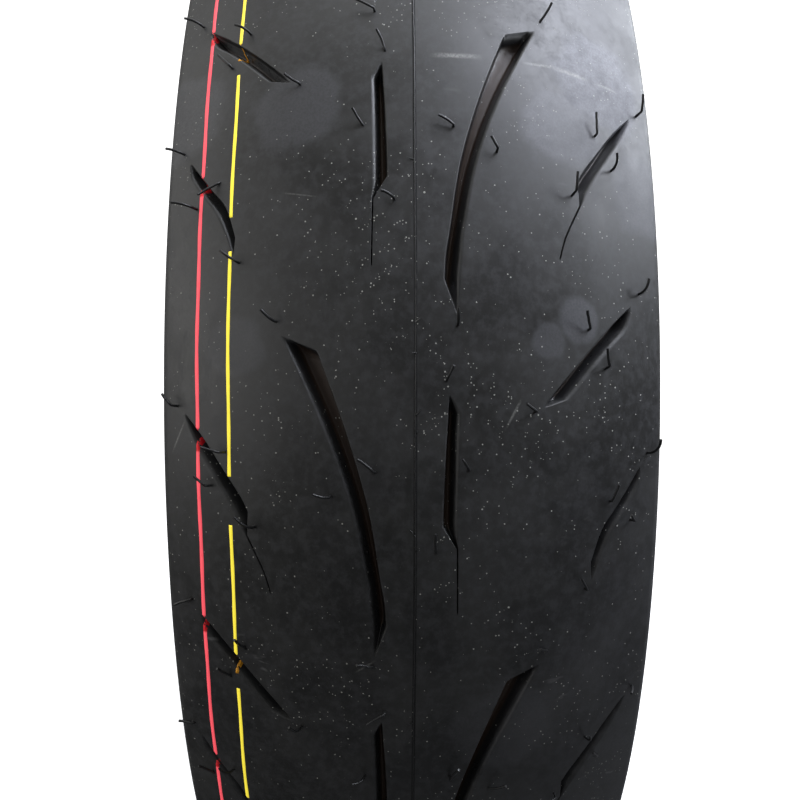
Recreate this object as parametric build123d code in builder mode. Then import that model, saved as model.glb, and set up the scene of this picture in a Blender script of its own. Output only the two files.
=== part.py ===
"""Rear radial motorcycle tyre, 170/60-17, unmounted.

The origin is the wheel's centre. The axle lies along Y, X points forwards and Z up. Sections are
drawn on Plane.YZ, where the first coordinate is the distance from the tyre's middle and the second
the distance from the axle, and are turned round the axle. Everything is in millimetres.
"""

from build123d import *
import math
import os

# Overall sizes
seat_r = 218.3              # bead seat of a 17 inch rim
section_height = 99.7       # bead seat to the middle of the tread
half_width = 84.5           # half the width over the shoulders
rim_half_width = 57.15      # half of a 4.50 inch rim, heel to heel

# Outer shape
crown_arc_r = 143.0         # the tread's round, across the tyre
shoulder_round = 6.4        # tread edge
flange_height = 11.7        # from the bead seat to where the rim flange's round begins
flange_round = 9.2          # hollow that the rim flange fills
heel_round = 5.0

# Inside shape
wall = 6.2                  # sidewall at the shoulder
toe_turn_height = 9.7       # where the inside leaves the bead's upright face
toe_round = 16.0
casing_shoulder_r = 14.0    # inside round under the shoulder

# Layers, from the air chamber outwards
bond = 0.05                 # room left between two layers
liner = 0.8
ply = 0.7
belt = 1.2
base = 1.2                  # harder rubber under the tread
tread_thick = 8.8           # tread cap in the middle
belt_margin = 14.0          # from the belt's edge to the tread's, along the tread
strip_end_angle = 25.0      # end of belt strip and base, above the level of the shoulder's centre

# Bead
seat_cover = 1.5            # rubber between the plies and the rim seat
bead_cover = 1.3            # extra rubber on the outside of the bead
wrap = 0.6                  # textile round the bead wires
wire_d = 1.75
wire_gap = 0.03             # between two wires
wrap_gap = 0.07             # between the wires and their textile
toe_strip_height = 6.0      # rim strip, up the inside of the bead
rim_strip_height = 17.0     # rim strip, up the outside of the bead
low_turn_up = 30.0          # inner ply's end, above the bead seat
high_turn_up = 38.7         # outer ply's end and the filler's tip, above the bead seat

# Tread
drawn_half_arc = 87.1       # the grooves below are drawn on a tread of this half width,
drawn_pitch = 222.0         # along its round, and of this pitch, and are scaled to this tyre's
centre_half_arc = 44.0      # middle to where the shoulder rubber begins, as drawn
pitches = 9
long_depth = 6.5
short_depth = 6.0
leaf_depth = 5.0
paint = 0.15
paint_gap = 0.02
red_place, red_width = 74.0, 1.5
yellow_place, yellow_width = 61.5, 1.3
hair_d = 0.8
hair_height = 3.0
hair_gap = 0.03

# Worked out from the sizes above
overall_r = seat_r + section_height
crown_centre = (0, overall_r - crown_arc_r)
edge_angle = math.degrees(math.asin((half_width - shoulder_round) / (crown_arc_r - shoulder_round)))
edge_centre = (
    half_width - shoulder_round,
    crown_centre[1] + (crown_arc_r - shoulder_round) * math.cos(math.radians(edge_angle)),
)
pitch_angle = 360 / pitches
pitch_length = 2 * math.pi * overall_r / pitches
half_pitch = pitch_length / 2
across_scale = crown_arc_r * math.radians(edge_angle) / drawn_half_arc
around_scale = pitch_length / drawn_pitch


def s_curve(top_y, top_r, foot_y, foot_r, hollow):
    """Radius and angle of the arc that leaves the top upright and meets, on the way down, a
    hollow arc that ends upright at the foot."""
    across, down = top_y - foot_y, top_r - foot_r
    both = (across**2 + down**2) / (2 * across)
    return both - hollow, math.degrees(math.asin(down / both))


def circles_meet(one, one_r, two, two_r):
    """The outer of the two points where two circles cross."""
    dy, dr = two[0] - one[0], two[1] - one[1]
    apart = math.hypot(dy, dr)
    along = (one_r**2 - two_r**2 + apart**2) / (2 * apart)
    aside = math.sqrt(one_r**2 - along**2)
    return (
        one[0] + (along * dy + aside * dr) / apart,
        one[1] + (along * dr - aside * dy) / apart,
    )


def bearing(start, end):
    """Angle of the line from start to end, from the outward direction."""
    return math.degrees(math.atan2(end[1] - start[1], end[0] - start[0]))


def at_angle(centre, radius, angle):
    turn = math.radians(angle)
    return (centre[0] + radius * math.cos(turn), centre[1] + radius * math.sin(turn))


def angle_at_height(centre, radius, r):
    return math.degrees(math.asin((r - centre[1]) / radius))


# Outer side: sidewall arc, then the hollow for the rim flange
flange_centre = (rim_half_width + flange_round, seat_r + flange_height)
side_r, side_turn = s_curve(half_width, edge_centre[1], rim_half_width, flange_centre[1], flange_round)
side_centre = (half_width - side_r, edge_centre[1])

# Depths outside the air chamber's line at which each layer starts
inner_ply_at = liner + bond
outer_ply_at = inner_ply_at + ply + bond
belt_at = outer_ply_at + ply + bond
base_at = belt_at + belt + bond
tread_at = base_at + base + bond

# The wires in their textile fill the room that the turned plies leave, and so set the bead's width
bundle_r = 1.5 * wire_d + wire_gap + wrap_gap + wrap
toe_y = rim_half_width - bead_cover - 2 * (bundle_r + belt_at)

# Inner side, the line of the air chamber
chamber_crown_r = crown_arc_r - tread_thick - tread_at
toe_centre = (toe_y + toe_round, seat_r + toe_turn_height)
inner_side_r, inner_turn = s_curve(half_width - wall, edge_centre[1], toe_y, toe_centre[1], toe_round)
inner_side_centre = (half_width - wall - inner_side_r, edge_centre[1])
casing_centre = circles_meet(
    crown_centre, chamber_crown_r - casing_shoulder_r,
    inner_side_centre, inner_side_r - casing_shoulder_r,
)
crown_end = bearing(crown_centre, casing_centre)
side_start = bearing(inner_side_centre, casing_centre)

wire_y = toe_y + belt_at + bundle_r
wire_r = seat_r + seat_cover + bond + (wire_y - toe_y - inner_ply_at)
wire_centre = (wire_y, wire_r)
belt_end = 90 - edge_angle + math.degrees(belt_margin / crown_arc_r)


def outer_depth(depth):
    """Depth under the outer face, once a ply at this depth has turned up round the bead."""
    return bead_cover + depth


def inside_line(depth, end_r):
    """Right half of a casing layer's face, from the middle of the crown down to end_r in the bead."""
    CenterArc(crown_centre, chamber_crown_r + depth, crown_end, 90 - crown_end)
    CenterArc(casing_centre, casing_shoulder_r + depth, side_start, crown_end - side_start)
    CenterArc(inner_side_centre, inner_side_r + depth, -inner_turn, side_start + inner_turn)
    CenterArc(toe_centre, toe_round - depth, 180 - inner_turn, inner_turn)
    Line((toe_y + depth, toe_centre[1]), (toe_y + depth, end_r))


def turned_line(depth, end_r):
    """The same face of a ply, round under the bead wire and up the outside to end_r."""
    inside_line(depth, wire_r)
    CenterArc(wire_centre, wire_y - toe_y - depth, 180, 180)
    under = outer_depth(depth)
    outside_y = rim_half_width - under
    Line((outside_y, wire_r), (outside_y, flange_centre[1]))
    CenterArc(flange_centre, flange_round + under, 180 - side_turn, side_turn)
    end_angle = angle_at_height(side_centre, side_r - under, end_r)
    CenterArc(side_centre, side_r - under, -side_turn, side_turn + end_angle)
    return at_angle(side_centre, side_r - under, end_angle)


def full_ring(draw):
    """A layer that runs from bead to bead or over the crown."""
    with BuildPart() as ring:
        with BuildSketch(Plane.YZ):
            with BuildLine():
                draw()
                mirror(about=Plane.YZ)
            make_face()
        revolve(axis=Axis.Y)
    return ring


def side_ring(draw, side):
    """A ring on one side of the tyre only."""
    with BuildPart() as ring:
        with BuildSketch(Plane.YZ):
            with BuildLine():
                draw()
            make_face()
            if side == "left":
                mirror(about=Plane.YZ, mode=Mode.REPLACE)
        revolve(axis=Axis.Y)
    return ring


def save(node, name):
    node.part.label = name
    export_step(node.part, f"parts/{name}.step")
    print(name, len(node.part.solids()), round(node.part.volume))


# Casing ---------------------------------------------------------------------

def draw_liner():
    end_r = seat_r + toe_strip_height + bond
    inside_line(0, end_r)
    inside_line(liner, end_r)
    Line((toe_y, end_r), (toe_y + liner, end_r))


def draw_ply(depth, end_height):
    inner_end = turned_line(depth, seat_r + end_height)
    outer_end = turned_line(depth + ply, seat_r + end_height)
    Line(inner_end, outer_end)


def draw_belt():
    start_r, end_r = chamber_crown_r + belt_at, chamber_crown_r + belt_at + belt
    CenterArc(crown_centre, start_r, belt_end, 90 - belt_end)
    CenterArc(crown_centre, end_r, belt_end, 90 - belt_end)
    Line(at_angle(crown_centre, start_r, belt_end), at_angle(crown_centre, end_r, belt_end))


def draw_belt_strip():
    """Soft strip that takes the belt's cut edge and fills the step beside it."""
    strip_start = belt_end - math.degrees(bond / chamber_crown_r)
    for depth in (belt_at, belt_at + belt):
        CenterArc(crown_centre, chamber_crown_r + depth, crown_end, strip_start - crown_end)
        CenterArc(casing_centre, casing_shoulder_r + depth, strip_end_angle, crown_end - strip_end_angle)
    Line(
        at_angle(crown_centre, chamber_crown_r + belt_at, strip_start),
        at_angle(crown_centre, chamber_crown_r + belt_at + belt, strip_start),
    )
    Line(
        at_angle(casing_centre, casing_shoulder_r + belt_at, strip_end_angle),
        at_angle(casing_centre, casing_shoulder_r + belt_at + belt, strip_end_angle),
    )


def draw_base():
    for depth in (base_at, base_at + base):
        CenterArc(crown_centre, chamber_crown_r + depth, crown_end, 90 - crown_end)
        CenterArc(casing_centre, casing_shoulder_r + depth, strip_end_angle, crown_end - strip_end_angle)
    Line(
        at_angle(casing_centre, casing_shoulder_r + base_at, strip_end_angle),
        at_angle(casing_centre, casing_shoulder_r + base_at + base, strip_end_angle),
    )


# Bead -----------------------------------------------------------------------

def draw_wrap():
    Circle(bundle_r)
    Circle(bundle_r - wrap, mode=Mode.SUBTRACT)


def bead_ring(side, draw):
    with BuildPart() as ring:
        with BuildSketch(Plane.YZ):
            with Locations(wire_centre):
                draw()
            if side == "left":
                mirror(about=Plane.YZ, mode=Mode.REPLACE)
        revolve(axis=Axis.Y)
    return ring


def draw_wires():
    """One wire in the middle and six round it."""
    Circle(wire_d / 2)
    with PolarLocations(wire_d + wire_gap, 6):
        Circle(wire_d / 2)


def draw_filler():
    """Hard wedge above the bead wire, between the ply and its turned-up end."""
    tip_r = seat_r + high_turn_up
    under = outer_depth(belt_at)
    CenterArc(wire_centre, bundle_r, 0, 180)
    Line((toe_y + belt_at, wire_r), (toe_y + belt_at, toe_centre[1]))
    CenterArc(toe_centre, toe_round - belt_at, 180 - inner_turn, inner_turn)
    inner_tip = angle_at_height(inner_side_centre, inner_side_r + belt_at, tip_r)
    CenterArc(inner_side_centre, inner_side_r + belt_at, -inner_turn, inner_turn + inner_tip)
    Line((rim_half_width - under, wire_r), (rim_half_width - under, flange_centre[1]))
    CenterArc(flange_centre, flange_round + under, 180 - side_turn, side_turn)
    outer_tip = angle_at_height(side_centre, side_r - under, tip_r)
    CenterArc(side_centre, side_r - under, -side_turn, side_turn + outer_tip)
    Line(
        at_angle(inner_side_centre, inner_side_r + belt_at, inner_tip),
        at_angle(side_centre, side_r - under, outer_tip),
    )


strip_top = 180 - angle_at_height((0, 0), flange_round, rim_strip_height - flange_height)


def draw_rim_strip():
    """Tough rubber that bears on the rim: toe, seat, heel and the foot of the flange."""
    under = outer_depth(liner)
    toe_top = seat_r + toe_strip_height
    Line((toe_y + liner, toe_top), (toe_y + liner, wire_r))
    CenterArc(wire_centre, wire_y - toe_y - liner, 180, 180)
    Line((rim_half_width - under, wire_r), (rim_half_width - under, flange_centre[1]))
    CenterArc(flange_centre, flange_round + under, strip_top, 180 - strip_top)
    Line(
        at_angle(flange_centre, flange_round + under, strip_top),
        at_angle(flange_centre, flange_round, strip_top),
    )
    CenterArc(flange_centre, flange_round, strip_top, 180 - strip_top)
    Line((rim_half_width, flange_centre[1]), (rim_half_width, seat_r + heel_round))
    CenterArc((rim_half_width - heel_round, seat_r + heel_round), heel_round, 270, 90)
    Line((rim_half_width - heel_round, seat_r), (toe_y, seat_r))
    Line((toe_y, seat_r), (toe_y, toe_top))
    Line((toe_y, toe_top), (toe_y + liner, toe_top))


# Sidewall and tread -----------------------------------------------------------

splice_in = at_angle(casing_centre, casing_shoulder_r + tread_at, strip_end_angle)
splice_out = (half_width, edge_centre[1])


def draw_sidewall():
    under = outer_depth(liner)
    foot = strip_top - math.degrees(bond / flange_round)
    top = strip_end_angle - math.degrees(bond / casing_shoulder_r)
    low_r, high_r = seat_r + low_turn_up + bond, seat_r + high_turn_up + bond
    # The outer face
    CenterArc(flange_centre, flange_round, 180 - side_turn, foot - 180 + side_turn)
    outer_top = -math.degrees(2 * bond / side_r)
    CenterArc(side_centre, side_r, -side_turn, side_turn + outer_top)
    # The splice under the tread's edge
    splice_foot = at_angle(casing_centre, casing_shoulder_r + tread_at, top)
    Polyline(
        at_angle(side_centre, side_r, outer_top), splice_foot,
        at_angle(casing_centre, casing_shoulder_r + belt_at, top),
    )
    # The inner face, stepped where each ply's turned-up end stops
    CenterArc(casing_centre, casing_shoulder_r + belt_at, side_start, top - side_start)
    inner_r = inner_side_r + belt_at
    inner_end = angle_at_height(inner_side_centre, inner_r, high_r)
    CenterArc(inner_side_centre, inner_r, inner_end, side_start - inner_end)
    outer_ply_r = side_r - under - ply - bond
    high_end = angle_at_height(side_centre, outer_ply_r, high_r)
    low_end = angle_at_height(side_centre, outer_ply_r, low_r)
    Line(at_angle(inner_side_centre, inner_r, inner_end), at_angle(side_centre, outer_ply_r, high_end))
    CenterArc(side_centre, outer_ply_r, low_end, high_end - low_end)
    inner_ply_end = angle_at_height(side_centre, side_r - under, low_r)
    Line(
        at_angle(side_centre, outer_ply_r, low_end),
        at_angle(side_centre, side_r - under, inner_ply_end),
    )
    CenterArc(side_centre, side_r - under, -side_turn, side_turn + inner_ply_end)
    CenterArc(flange_centre, flange_round + under, 180 - side_turn, foot - 180 + side_turn)
    Line(at_angle(flange_centre, flange_round + under, foot), at_angle(flange_centre, flange_round, foot))


centre_end = 90 - math.degrees(centre_half_arc * across_scale / crown_arc_r)


def draw_tread_centre():
    start_r = chamber_crown_r + tread_at
    CenterArc(crown_centre, start_r, centre_end, 90 - centre_end)
    CenterArc(crown_centre, crown_arc_r, centre_end, 90 - centre_end)
    Line(at_angle(crown_centre, start_r, centre_end), at_angle(crown_centre, crown_arc_r, centre_end))


def draw_tread_shoulder():
    start = centre_end - math.degrees(bond / crown_arc_r)
    start_r = chamber_crown_r + tread_at
    CenterArc(crown_centre, start_r, crown_end, start - crown_end)
    CenterArc(casing_centre, casing_shoulder_r + tread_at, strip_end_angle, crown_end - strip_end_angle)
    Line(splice_in, splice_out)
    CenterArc(edge_centre, shoulder_round, 0, 90 - edge_angle)
    CenterArc(crown_centre, crown_arc_r, 90 - edge_angle, start - 90 + edge_angle)
    Line(at_angle(crown_centre, start_r, start), at_angle(crown_centre, crown_arc_r, start))


def tread_point(across, around):
    """A point on the tread, from its distance across the tyre and its distance round it."""
    r = crown_centre[1] + crown_arc_r * math.cos(across / crown_arc_r)
    turn = around / overall_r
    return Vector(r * math.cos(turn), crown_arc_r * math.sin(across / crown_arc_r), r * math.sin(turn))


def tread_plane(across, around):
    """A plane that touches the tread there and looks outwards, its first direction across the tyre."""
    lean, turn = across / crown_arc_r, around / overall_r
    out = Vector(math.cos(lean) * math.cos(turn), math.sin(lean), math.cos(lean) * math.sin(turn))
    level = Vector(-math.sin(lean) * math.cos(turn), math.cos(lean), -math.sin(lean) * math.sin(turn))
    return Plane(origin=tread_point(across, around), x_dir=level, z_dir=out)


# Each groove's outline on the right of the tread as drawn: (across, around) from the middle and
# from the pitch's start. Every run is a line or, with more than two points, a smooth curve, and
# the next run starts where it ends.
long_groove = [
    [(30.5, 121.5), (21.5, 96.5), (14.5, 72), (10.5, 47.5), (8.5, 33)],
    [(8.5, 33), (13, 21.5)],
    [(13, 21.5), (14.5, 34.5), (16.5, 53), (21.5, 74), (32, 102.5), (43, 126.5)],
    [(43, 126.5), (30.5, 121.5)],
]
short_groove = [
    [(10.5, 108), (9, 91.5), (8.2, 71), (8.3, 66)],
    [(8.3, 66), (13, 59)],
    [(13, 59), (13.4, 36.5)],
    [(13.4, 36.5), (14.1, 36.5)],
    [(14.1, 36.5), (13.7, 61)],
    [(13.7, 61), (13.8, 75), (14, 89), (14.4, 102)],
    [(14.4, 102), (10.5, 108)],
]
upper_leaf = [
    [(79.5, 100.5), (71, 91.5), (63, 81), (57, 73.5), (54.5, 68.5)],
    [(54.5, 68.5), (55.2, 60.5)],
    [(55.2, 60.5), (49.2, 48.5), (47, 40.5)],
    [(47, 40.5), (47.7, 40.3)],
    [(47.7, 40.3), (49.9, 48.2), (56, 60.2)],
    [(56, 60.2), (63, 71.5), (69, 80.5), (75, 89), (80.5, 100)],
    [(80.5, 100), (79.5, 100.5)],
]
slash = [
    [(75.5, 138.5), (67.5, 132), (61.5, 126), (53.5, 118), (43, 106)],
    [(43, 106), (41.2, 103.2)],
    [(41.2, 103.2), (50, 105.7)],
    [(50, 105.7), (58.5, 114.5), (64.5, 121), (74.5, 131)],
    [(74.5, 131), (76, 137)],
    [(76, 137), (75.5, 138.5)],
]
lower_leaf = [
    [(79.5, 82), (76, 77), (69, 67.5), (64, 61.5), (59.5, 49.5)],
    [(59.5, 49.5), (60.5, 43.5)],
    [(60.5, 43.5), (63.5, 50.5), (68.5, 60), (75, 68), (80, 76)],
    [(80, 76), (79.5, 82)],
]

# Vent hairs beside each groove, in the same measure
long_hairs = [(44.5, 131), (12.5, 83.5), (26.5, 75.5), (13, 18)]
short_hairs = [(9.5, 112), (16.5, 84), (6.5, 58)]
upper_leaf_hairs = [(83, 103), (63, 88), (69, 76), (52.5, 63.5)]
slash_hairs = [(79, 143), (57.5, 129), (64, 116), (38, 102)]
lower_leaf_hairs = [(83, 86), (66.5, 70.5), (76, 62.5), (58, 40.5)]

cutter_reach = 30.0
cutter_stand = 4.0          # how far a cutter stands out of the tread


def to_tyre(point, shift=0):
    """A drawn place, scaled to this tyre and moved round it."""
    return point[0] * across_scale, point[1] * around_scale + shift


def groove_cutter(runs, shift, depth):
    """A prism on the groove's outline, with a floor that keeps the same depth under the tread."""
    corners = [to_tyre(point, shift) for run in runs for point in run[:-1]]
    across = sum(point[0] for point in corners) / len(corners)
    around = sum(point[1] for point in corners) / len(corners)
    face = tread_plane(across, around)
    with BuildPart() as cutter:
        with BuildSketch(face):
            with BuildLine():
                for run in runs:
                    points = [face.to_local_coords(tread_point(*to_tyre(point, shift))) for point in run]
                    flat = [(point.X, point.Y) for point in points]
                    if len(flat) == 2:
                        Line(*flat)
                    else:
                        Spline(*flat)
            make_face()
        extrude(amount=cutter_reach, both=True)
        with BuildSketch(Plane.YZ):
            with Locations(crown_centre):
                Circle(crown_arc_r + cutter_stand)
                Circle(crown_arc_r - depth, mode=Mode.SUBTRACT)
            split(bisect_by=Plane.YZ)
        revolve(axis=Axis.Y, mode=Mode.INTERSECT)
    return cutter.part


def round_the_tyre(cutter):
    """The right side's copies, and the left side's: mirrored, and half a pitch further round."""
    right = [cutter.rotate(Axis.Y, turn * pitch_angle) for turn in range(pitches)]
    left = [
        cutter.mirror(Plane.XZ).rotate(Axis.Y, (turn + 0.5) * pitch_angle) for turn in range(pitches)
    ]
    return right, left


def hair_places(side):
    """Where hairs stand on one side, all the way round."""
    spots = [to_tyre(hair) for hair in long_hairs + upper_leaf_hairs]
    spots += [to_tyre(hair, -half_pitch) for hair in short_hairs + slash_hairs + lower_leaf_hairs]
    sign, start = (1, 0) if side == "right" else (-1, half_pitch)
    for turn in range(pitches):
        for across, around in spots:
            yield sign * across, around + start + turn * pitch_length


def paint_line(place, width):
    """A band of paint on the left shoulder, broken where it crosses a groove."""
    with BuildPart() as band:
        with BuildSketch(Plane.YZ):
            inner_r = crown_arc_r + paint_gap
            outer_r = inner_r + paint
            start = 90 + math.degrees((place * across_scale - width / 2) / crown_arc_r)
            sweep = math.degrees(width / crown_arc_r)
            with BuildLine():
                CenterArc(crown_centre, inner_r, start, sweep)
                CenterArc(crown_centre, outer_r, start, sweep)
                for end in (start, start + sweep):
                    Line(at_angle(crown_centre, inner_r, end), at_angle(crown_centre, outer_r, end))
            make_face()
        revolve(axis=Axis.Y)
        add(leaves[1] + slashes[1], mode=Mode.SUBTRACT)
    return band


os.makedirs("parts", exist_ok=True)

save(full_ring(draw_liner), "inner_liner")
save(full_ring(lambda: draw_ply(inner_ply_at, low_turn_up)), "carcass_ply_inner")
save(full_ring(lambda: draw_ply(outer_ply_at, high_turn_up)), "carcass_ply_outer")
save(full_ring(draw_belt), "zero_degree_belt")
save(full_ring(draw_base), "tread_base")

for side in ("left", "right"):
    save(side_ring(draw_belt_strip, side), f"belt_edge_strip_{side}")
    save(bead_ring(side, draw_wires), f"bead_wires_{side}")
    save(bead_ring(side, draw_wrap), f"bead_wrap_{side}")
    save(side_ring(draw_filler, side), f"bead_filler_{side}")
    save(side_ring(draw_rim_strip, side), f"rim_strip_{side}")
    save(side_ring(draw_sidewall, side), f"sidewall_{side}")

long_cuts = round_the_tyre(groove_cutter(long_groove, 0, long_depth))
short_cuts = round_the_tyre(groove_cutter(short_groove, -half_pitch, short_depth))
slashes = round_the_tyre(groove_cutter(slash, -half_pitch, leaf_depth))
upper_leaves = round_the_tyre(groove_cutter(upper_leaf, 0, leaf_depth))
lower_leaves = round_the_tyre(groove_cutter(lower_leaf, -half_pitch, leaf_depth))
leaves = [upper_leaves[index] + lower_leaves[index] for index in (0, 1)]

tread_centre = full_ring(draw_tread_centre)
with tread_centre:
    for cuts in (long_cuts, short_cuts, slashes):
        add(cuts[0] + cuts[1], mode=Mode.SUBTRACT)
save(tread_centre, "tread_centre")

for index, side in enumerate(("right", "left")):
    tread_shoulder = side_ring(draw_tread_shoulder, side)
    with tread_shoulder:
        add(leaves[index] + slashes[index], mode=Mode.SUBTRACT)
    save(tread_shoulder, f"tread_shoulder_{side}")

    with BuildPart() as vent_hairs:
        planes = [tread_plane(across, around).offset(hair_gap) for across, around in hair_places(side)]
        with Locations(*planes):
            Cylinder(hair_d / 2, hair_height, align=(Align.CENTER, Align.CENTER, Align.MIN))
    save(vent_hairs, f"vent_hairs_{side}")

save(paint_line(red_place, red_width), "red_mark_line")
save(paint_line(yellow_place, yellow_width), "yellow_mark_line")
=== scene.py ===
# %% [markdown]
# # A rear motorcycle tyre
# The tyre stands with its axle along Y, X forwards and Z up, and the wheel's centre is the origin.
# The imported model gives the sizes. Every piece here is made in that frame, so nothing is fitted
# afterwards. Lengths are thought out in millimetres and written to the meshes in metres.

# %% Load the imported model
import contextlib
import math
import random

import bmesh
import bpy
import numpy as np
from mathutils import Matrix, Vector, geometry


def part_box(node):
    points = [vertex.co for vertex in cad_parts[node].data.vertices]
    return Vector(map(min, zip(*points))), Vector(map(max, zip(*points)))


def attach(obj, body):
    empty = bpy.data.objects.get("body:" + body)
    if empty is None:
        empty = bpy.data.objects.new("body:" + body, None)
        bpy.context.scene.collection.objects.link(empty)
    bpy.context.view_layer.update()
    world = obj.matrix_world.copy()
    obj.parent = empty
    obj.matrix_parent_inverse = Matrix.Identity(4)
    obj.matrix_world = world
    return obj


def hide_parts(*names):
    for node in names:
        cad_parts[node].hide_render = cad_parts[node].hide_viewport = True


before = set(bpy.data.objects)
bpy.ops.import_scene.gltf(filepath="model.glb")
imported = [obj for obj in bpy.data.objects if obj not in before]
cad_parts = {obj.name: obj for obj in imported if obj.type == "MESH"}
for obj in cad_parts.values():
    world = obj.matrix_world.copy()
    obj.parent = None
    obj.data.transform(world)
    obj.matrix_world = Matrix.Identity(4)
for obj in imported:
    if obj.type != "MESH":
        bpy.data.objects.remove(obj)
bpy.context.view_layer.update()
BODY = "root"
MM = 0.001
print("nodes", len(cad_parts))

# %% [markdown]
# ## Sizes
# The tread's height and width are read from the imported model. The two arcs that shape it are the
# tyre maker's own numbers: a wide one over the crown and a small one at each edge. The mould's
# two halves meet along the middle, where the crown has a very slight crease that fades out
# towards the edges.

# %% Read the sizes
TREAD_R = round(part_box("tread_centre")[1].x / MM, 2)
HALF_WIDTH = round(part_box("tread_shoulder_right")[1].y / MM, 2)
CROWN_R = 143.0
EDGE_R = 6.4
TREAD_THICK = 8.8
PITCHES = 9
CREASE, CREASE_REACH = 0.4, 11.0

CROWN_AT = TREAD_R - CROWN_R
EDGE_Y = HALF_WIDTH - EDGE_R
EDGE_LEAN = math.asin(EDGE_Y / (CROWN_R - EDGE_R))
EDGE_AT = CROWN_AT + (CROWN_R - EDGE_R) * math.cos(EDGE_LEAN)
CROWN_S = CROWN_R * EDGE_LEAN
EDGE_S = CROWN_S + EDGE_R * (math.pi / 2 - EDGE_LEAN)
PITCH = 2 * math.pi * TREAD_R / PITCHES
HALF_PITCH = PITCH / 2
print("radius", TREAD_R, "half width", HALF_WIDTH, "pitch", round(PITCH, 2))


def tread_lean(s):
    """How far the tread leans over at s, the distance across it from the middle."""
    if s <= CROWN_S:
        return s / CROWN_R
    return EDGE_LEAN + (s - CROWN_S) / EDGE_R


def on_wheel(y, r, turn):
    """The point at y along the axle and r from it, turned round it by turn, in metres."""
    return Vector((r * math.cos(turn), y, r * math.sin(turn))) * MM


def on_tread(s, t, depth=0.0, side=1):
    """The point at s across and t round the tread, depth under it, in metres."""
    lean = tread_lean(s)
    depth += CREASE * (1 - math.exp(-s / CREASE_REACH)) * (1 - s / EDGE_S)
    if s <= CROWN_S:
        y, r = CROWN_R * math.sin(lean), CROWN_AT + CROWN_R * math.cos(lean)
    else:
        y, r = EDGE_Y + EDGE_R * math.sin(lean), EDGE_AT + EDGE_R * math.cos(lean)
    y -= depth * math.sin(lean)
    r -= depth * math.cos(lean)
    return on_wheel(side * y, r, t / TREAD_R)


def tread_normal(s, t, side=1):
    lean, turn = tread_lean(s), t / TREAD_R
    flat = math.cos(lean)
    return Vector((flat * math.cos(turn), side * math.sin(lean), flat * math.sin(turn)))


def open_edges(piece):
    """How many edges of a piece do not have exactly two faces: none, when it is closed."""
    uses = np.zeros(len(piece.data.edges), int)
    loops = np.zeros(len(piece.data.loops), int)
    piece.data.loops.foreach_get("edge_index", loops)
    np.add.at(uses, loops, 1)
    return int((uses != 2).sum())


def put_in_scene(name, data):
    thing = bpy.data.objects.new(name, data)
    bpy.context.scene.collection.objects.link(thing)
    return thing


def make_piece(name, verts, faces=(), edges=(), smooth=True):
    mesh = bpy.data.meshes.new(name)
    mesh.from_pydata([tuple(v) for v in verts], edges, faces)
    if smooth:
        mesh.shade_smooth()
    return put_in_scene(name, mesh)


@contextlib.contextmanager
def edited(piece):
    """The piece's mesh, open to changes that are written back at the end."""
    bm = bmesh.new()
    bm.from_mesh(piece.data)
    yield bm
    bm.to_mesh(piece.data)
    bm.free()


def face_outwards(piece):
    """Turns every face of a closed piece outwards."""
    with edited(piece) as bm:
        bmesh.ops.recalc_face_normals(bm, faces=bm.faces)

# %% [markdown]
# ## Grooves
# Each groove is drawn by its ribs: pairs of points on its inner and outer edge, from its lower
# end to its upper one. A pair that is written twice is a corner. A smooth curve through the
# ribs gives both edges. Across each rib the section falls from a crisp inner lip down a steep
# wall, runs down a floor that slopes outwards, and rises over a softer outer lip. Where the
# groove narrows, the section shrinks, so that the floor runs out at the tips.

# %% Groove shapes
# (inner edge, outer edge), each (across, around) in mm on the right half of one pitch
LONG = [
    ((12.8, 21.2), (13.3, 21.6)),
    ((8.6, 32.6), (14.3, 33)), ((8.6, 32.6), (14.3, 33)),
    ((9.1, 40.5), (15.2, 41.5)),
    ((10.5, 48.5), (16.3, 51)),
    ((14.3, 71.5), (21.3, 75)),
    ((21.4, 96.4), (30.4, 99.6)),
    ((30.6, 121.6), (43, 126.6)),
]
SHORT = [
    ((13.4, 36.5), (14.0, 36.5)),
    ((13.0, 58.6), (13.7, 59.2)), ((13.0, 58.6), (13.7, 59.2)),
    ((8.3, 66.2), (13.7, 64.8)), ((8.3, 66.2), (13.7, 64.8)),
    ((8.3, 72), (13.8, 72)),
    ((9.0, 90), (14.1, 90)),
    ((9.7, 101.5), (14.4, 102)), ((9.7, 101.5), (14.4, 102)),
    ((10.3, 107.6), (10.8, 107.8)),
]
UPPER_LEAF = [
    ((47.0, 40.5), (47.6, 40.3)),
    ((49.4, 48.6), (50.0, 48.3)),
    ((55.2, 60.4), (55.9, 60)), ((55.2, 60.4), (55.9, 60)),
    ((54.5, 68.5), (60.2, 67.0)), ((54.5, 68.5), (60.2, 67.0)),
    ((57.2, 73.4), (62.9, 71.4)),
    ((62.8, 80.9), (68.6, 79.8)),
    ((71.0, 91.8), (75.2, 89.4)),
    ((79.3, 100.7), (80.2, 100.1)),
]
SLASH = [
    ((41.0, 103.3), (41.6, 103.1)),
    ((42.9, 106.1), (49.8, 105.6)), ((42.9, 106.1), (49.8, 105.6)),
    ((47.8, 111.6), (54.0, 109.7)),
    ((54.6, 118.9), (60.0, 116.2)),
    ((62.0, 126.5), (66.5, 122.8)),
    ((69.2, 133.4), (73.2, 129.5)),
    ((74.9, 138.2), (75.9, 137.2)),
]
LOWER_LEAF = [
    ((60.0, 43.3), (60.7, 43.2)),
    ((59.5, 49.6), (63.2, 50.0)), ((59.5, 49.6), (63.2, 50.0)),
    ((63.4, 60.8), (68.2, 59.4)),
    ((69.1, 68.0), (73.6, 66.4)),
    ((75.6, 76.4), (79.4, 75.2)),
    ((79.2, 81.4), (80.0, 80.9)),
]
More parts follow.
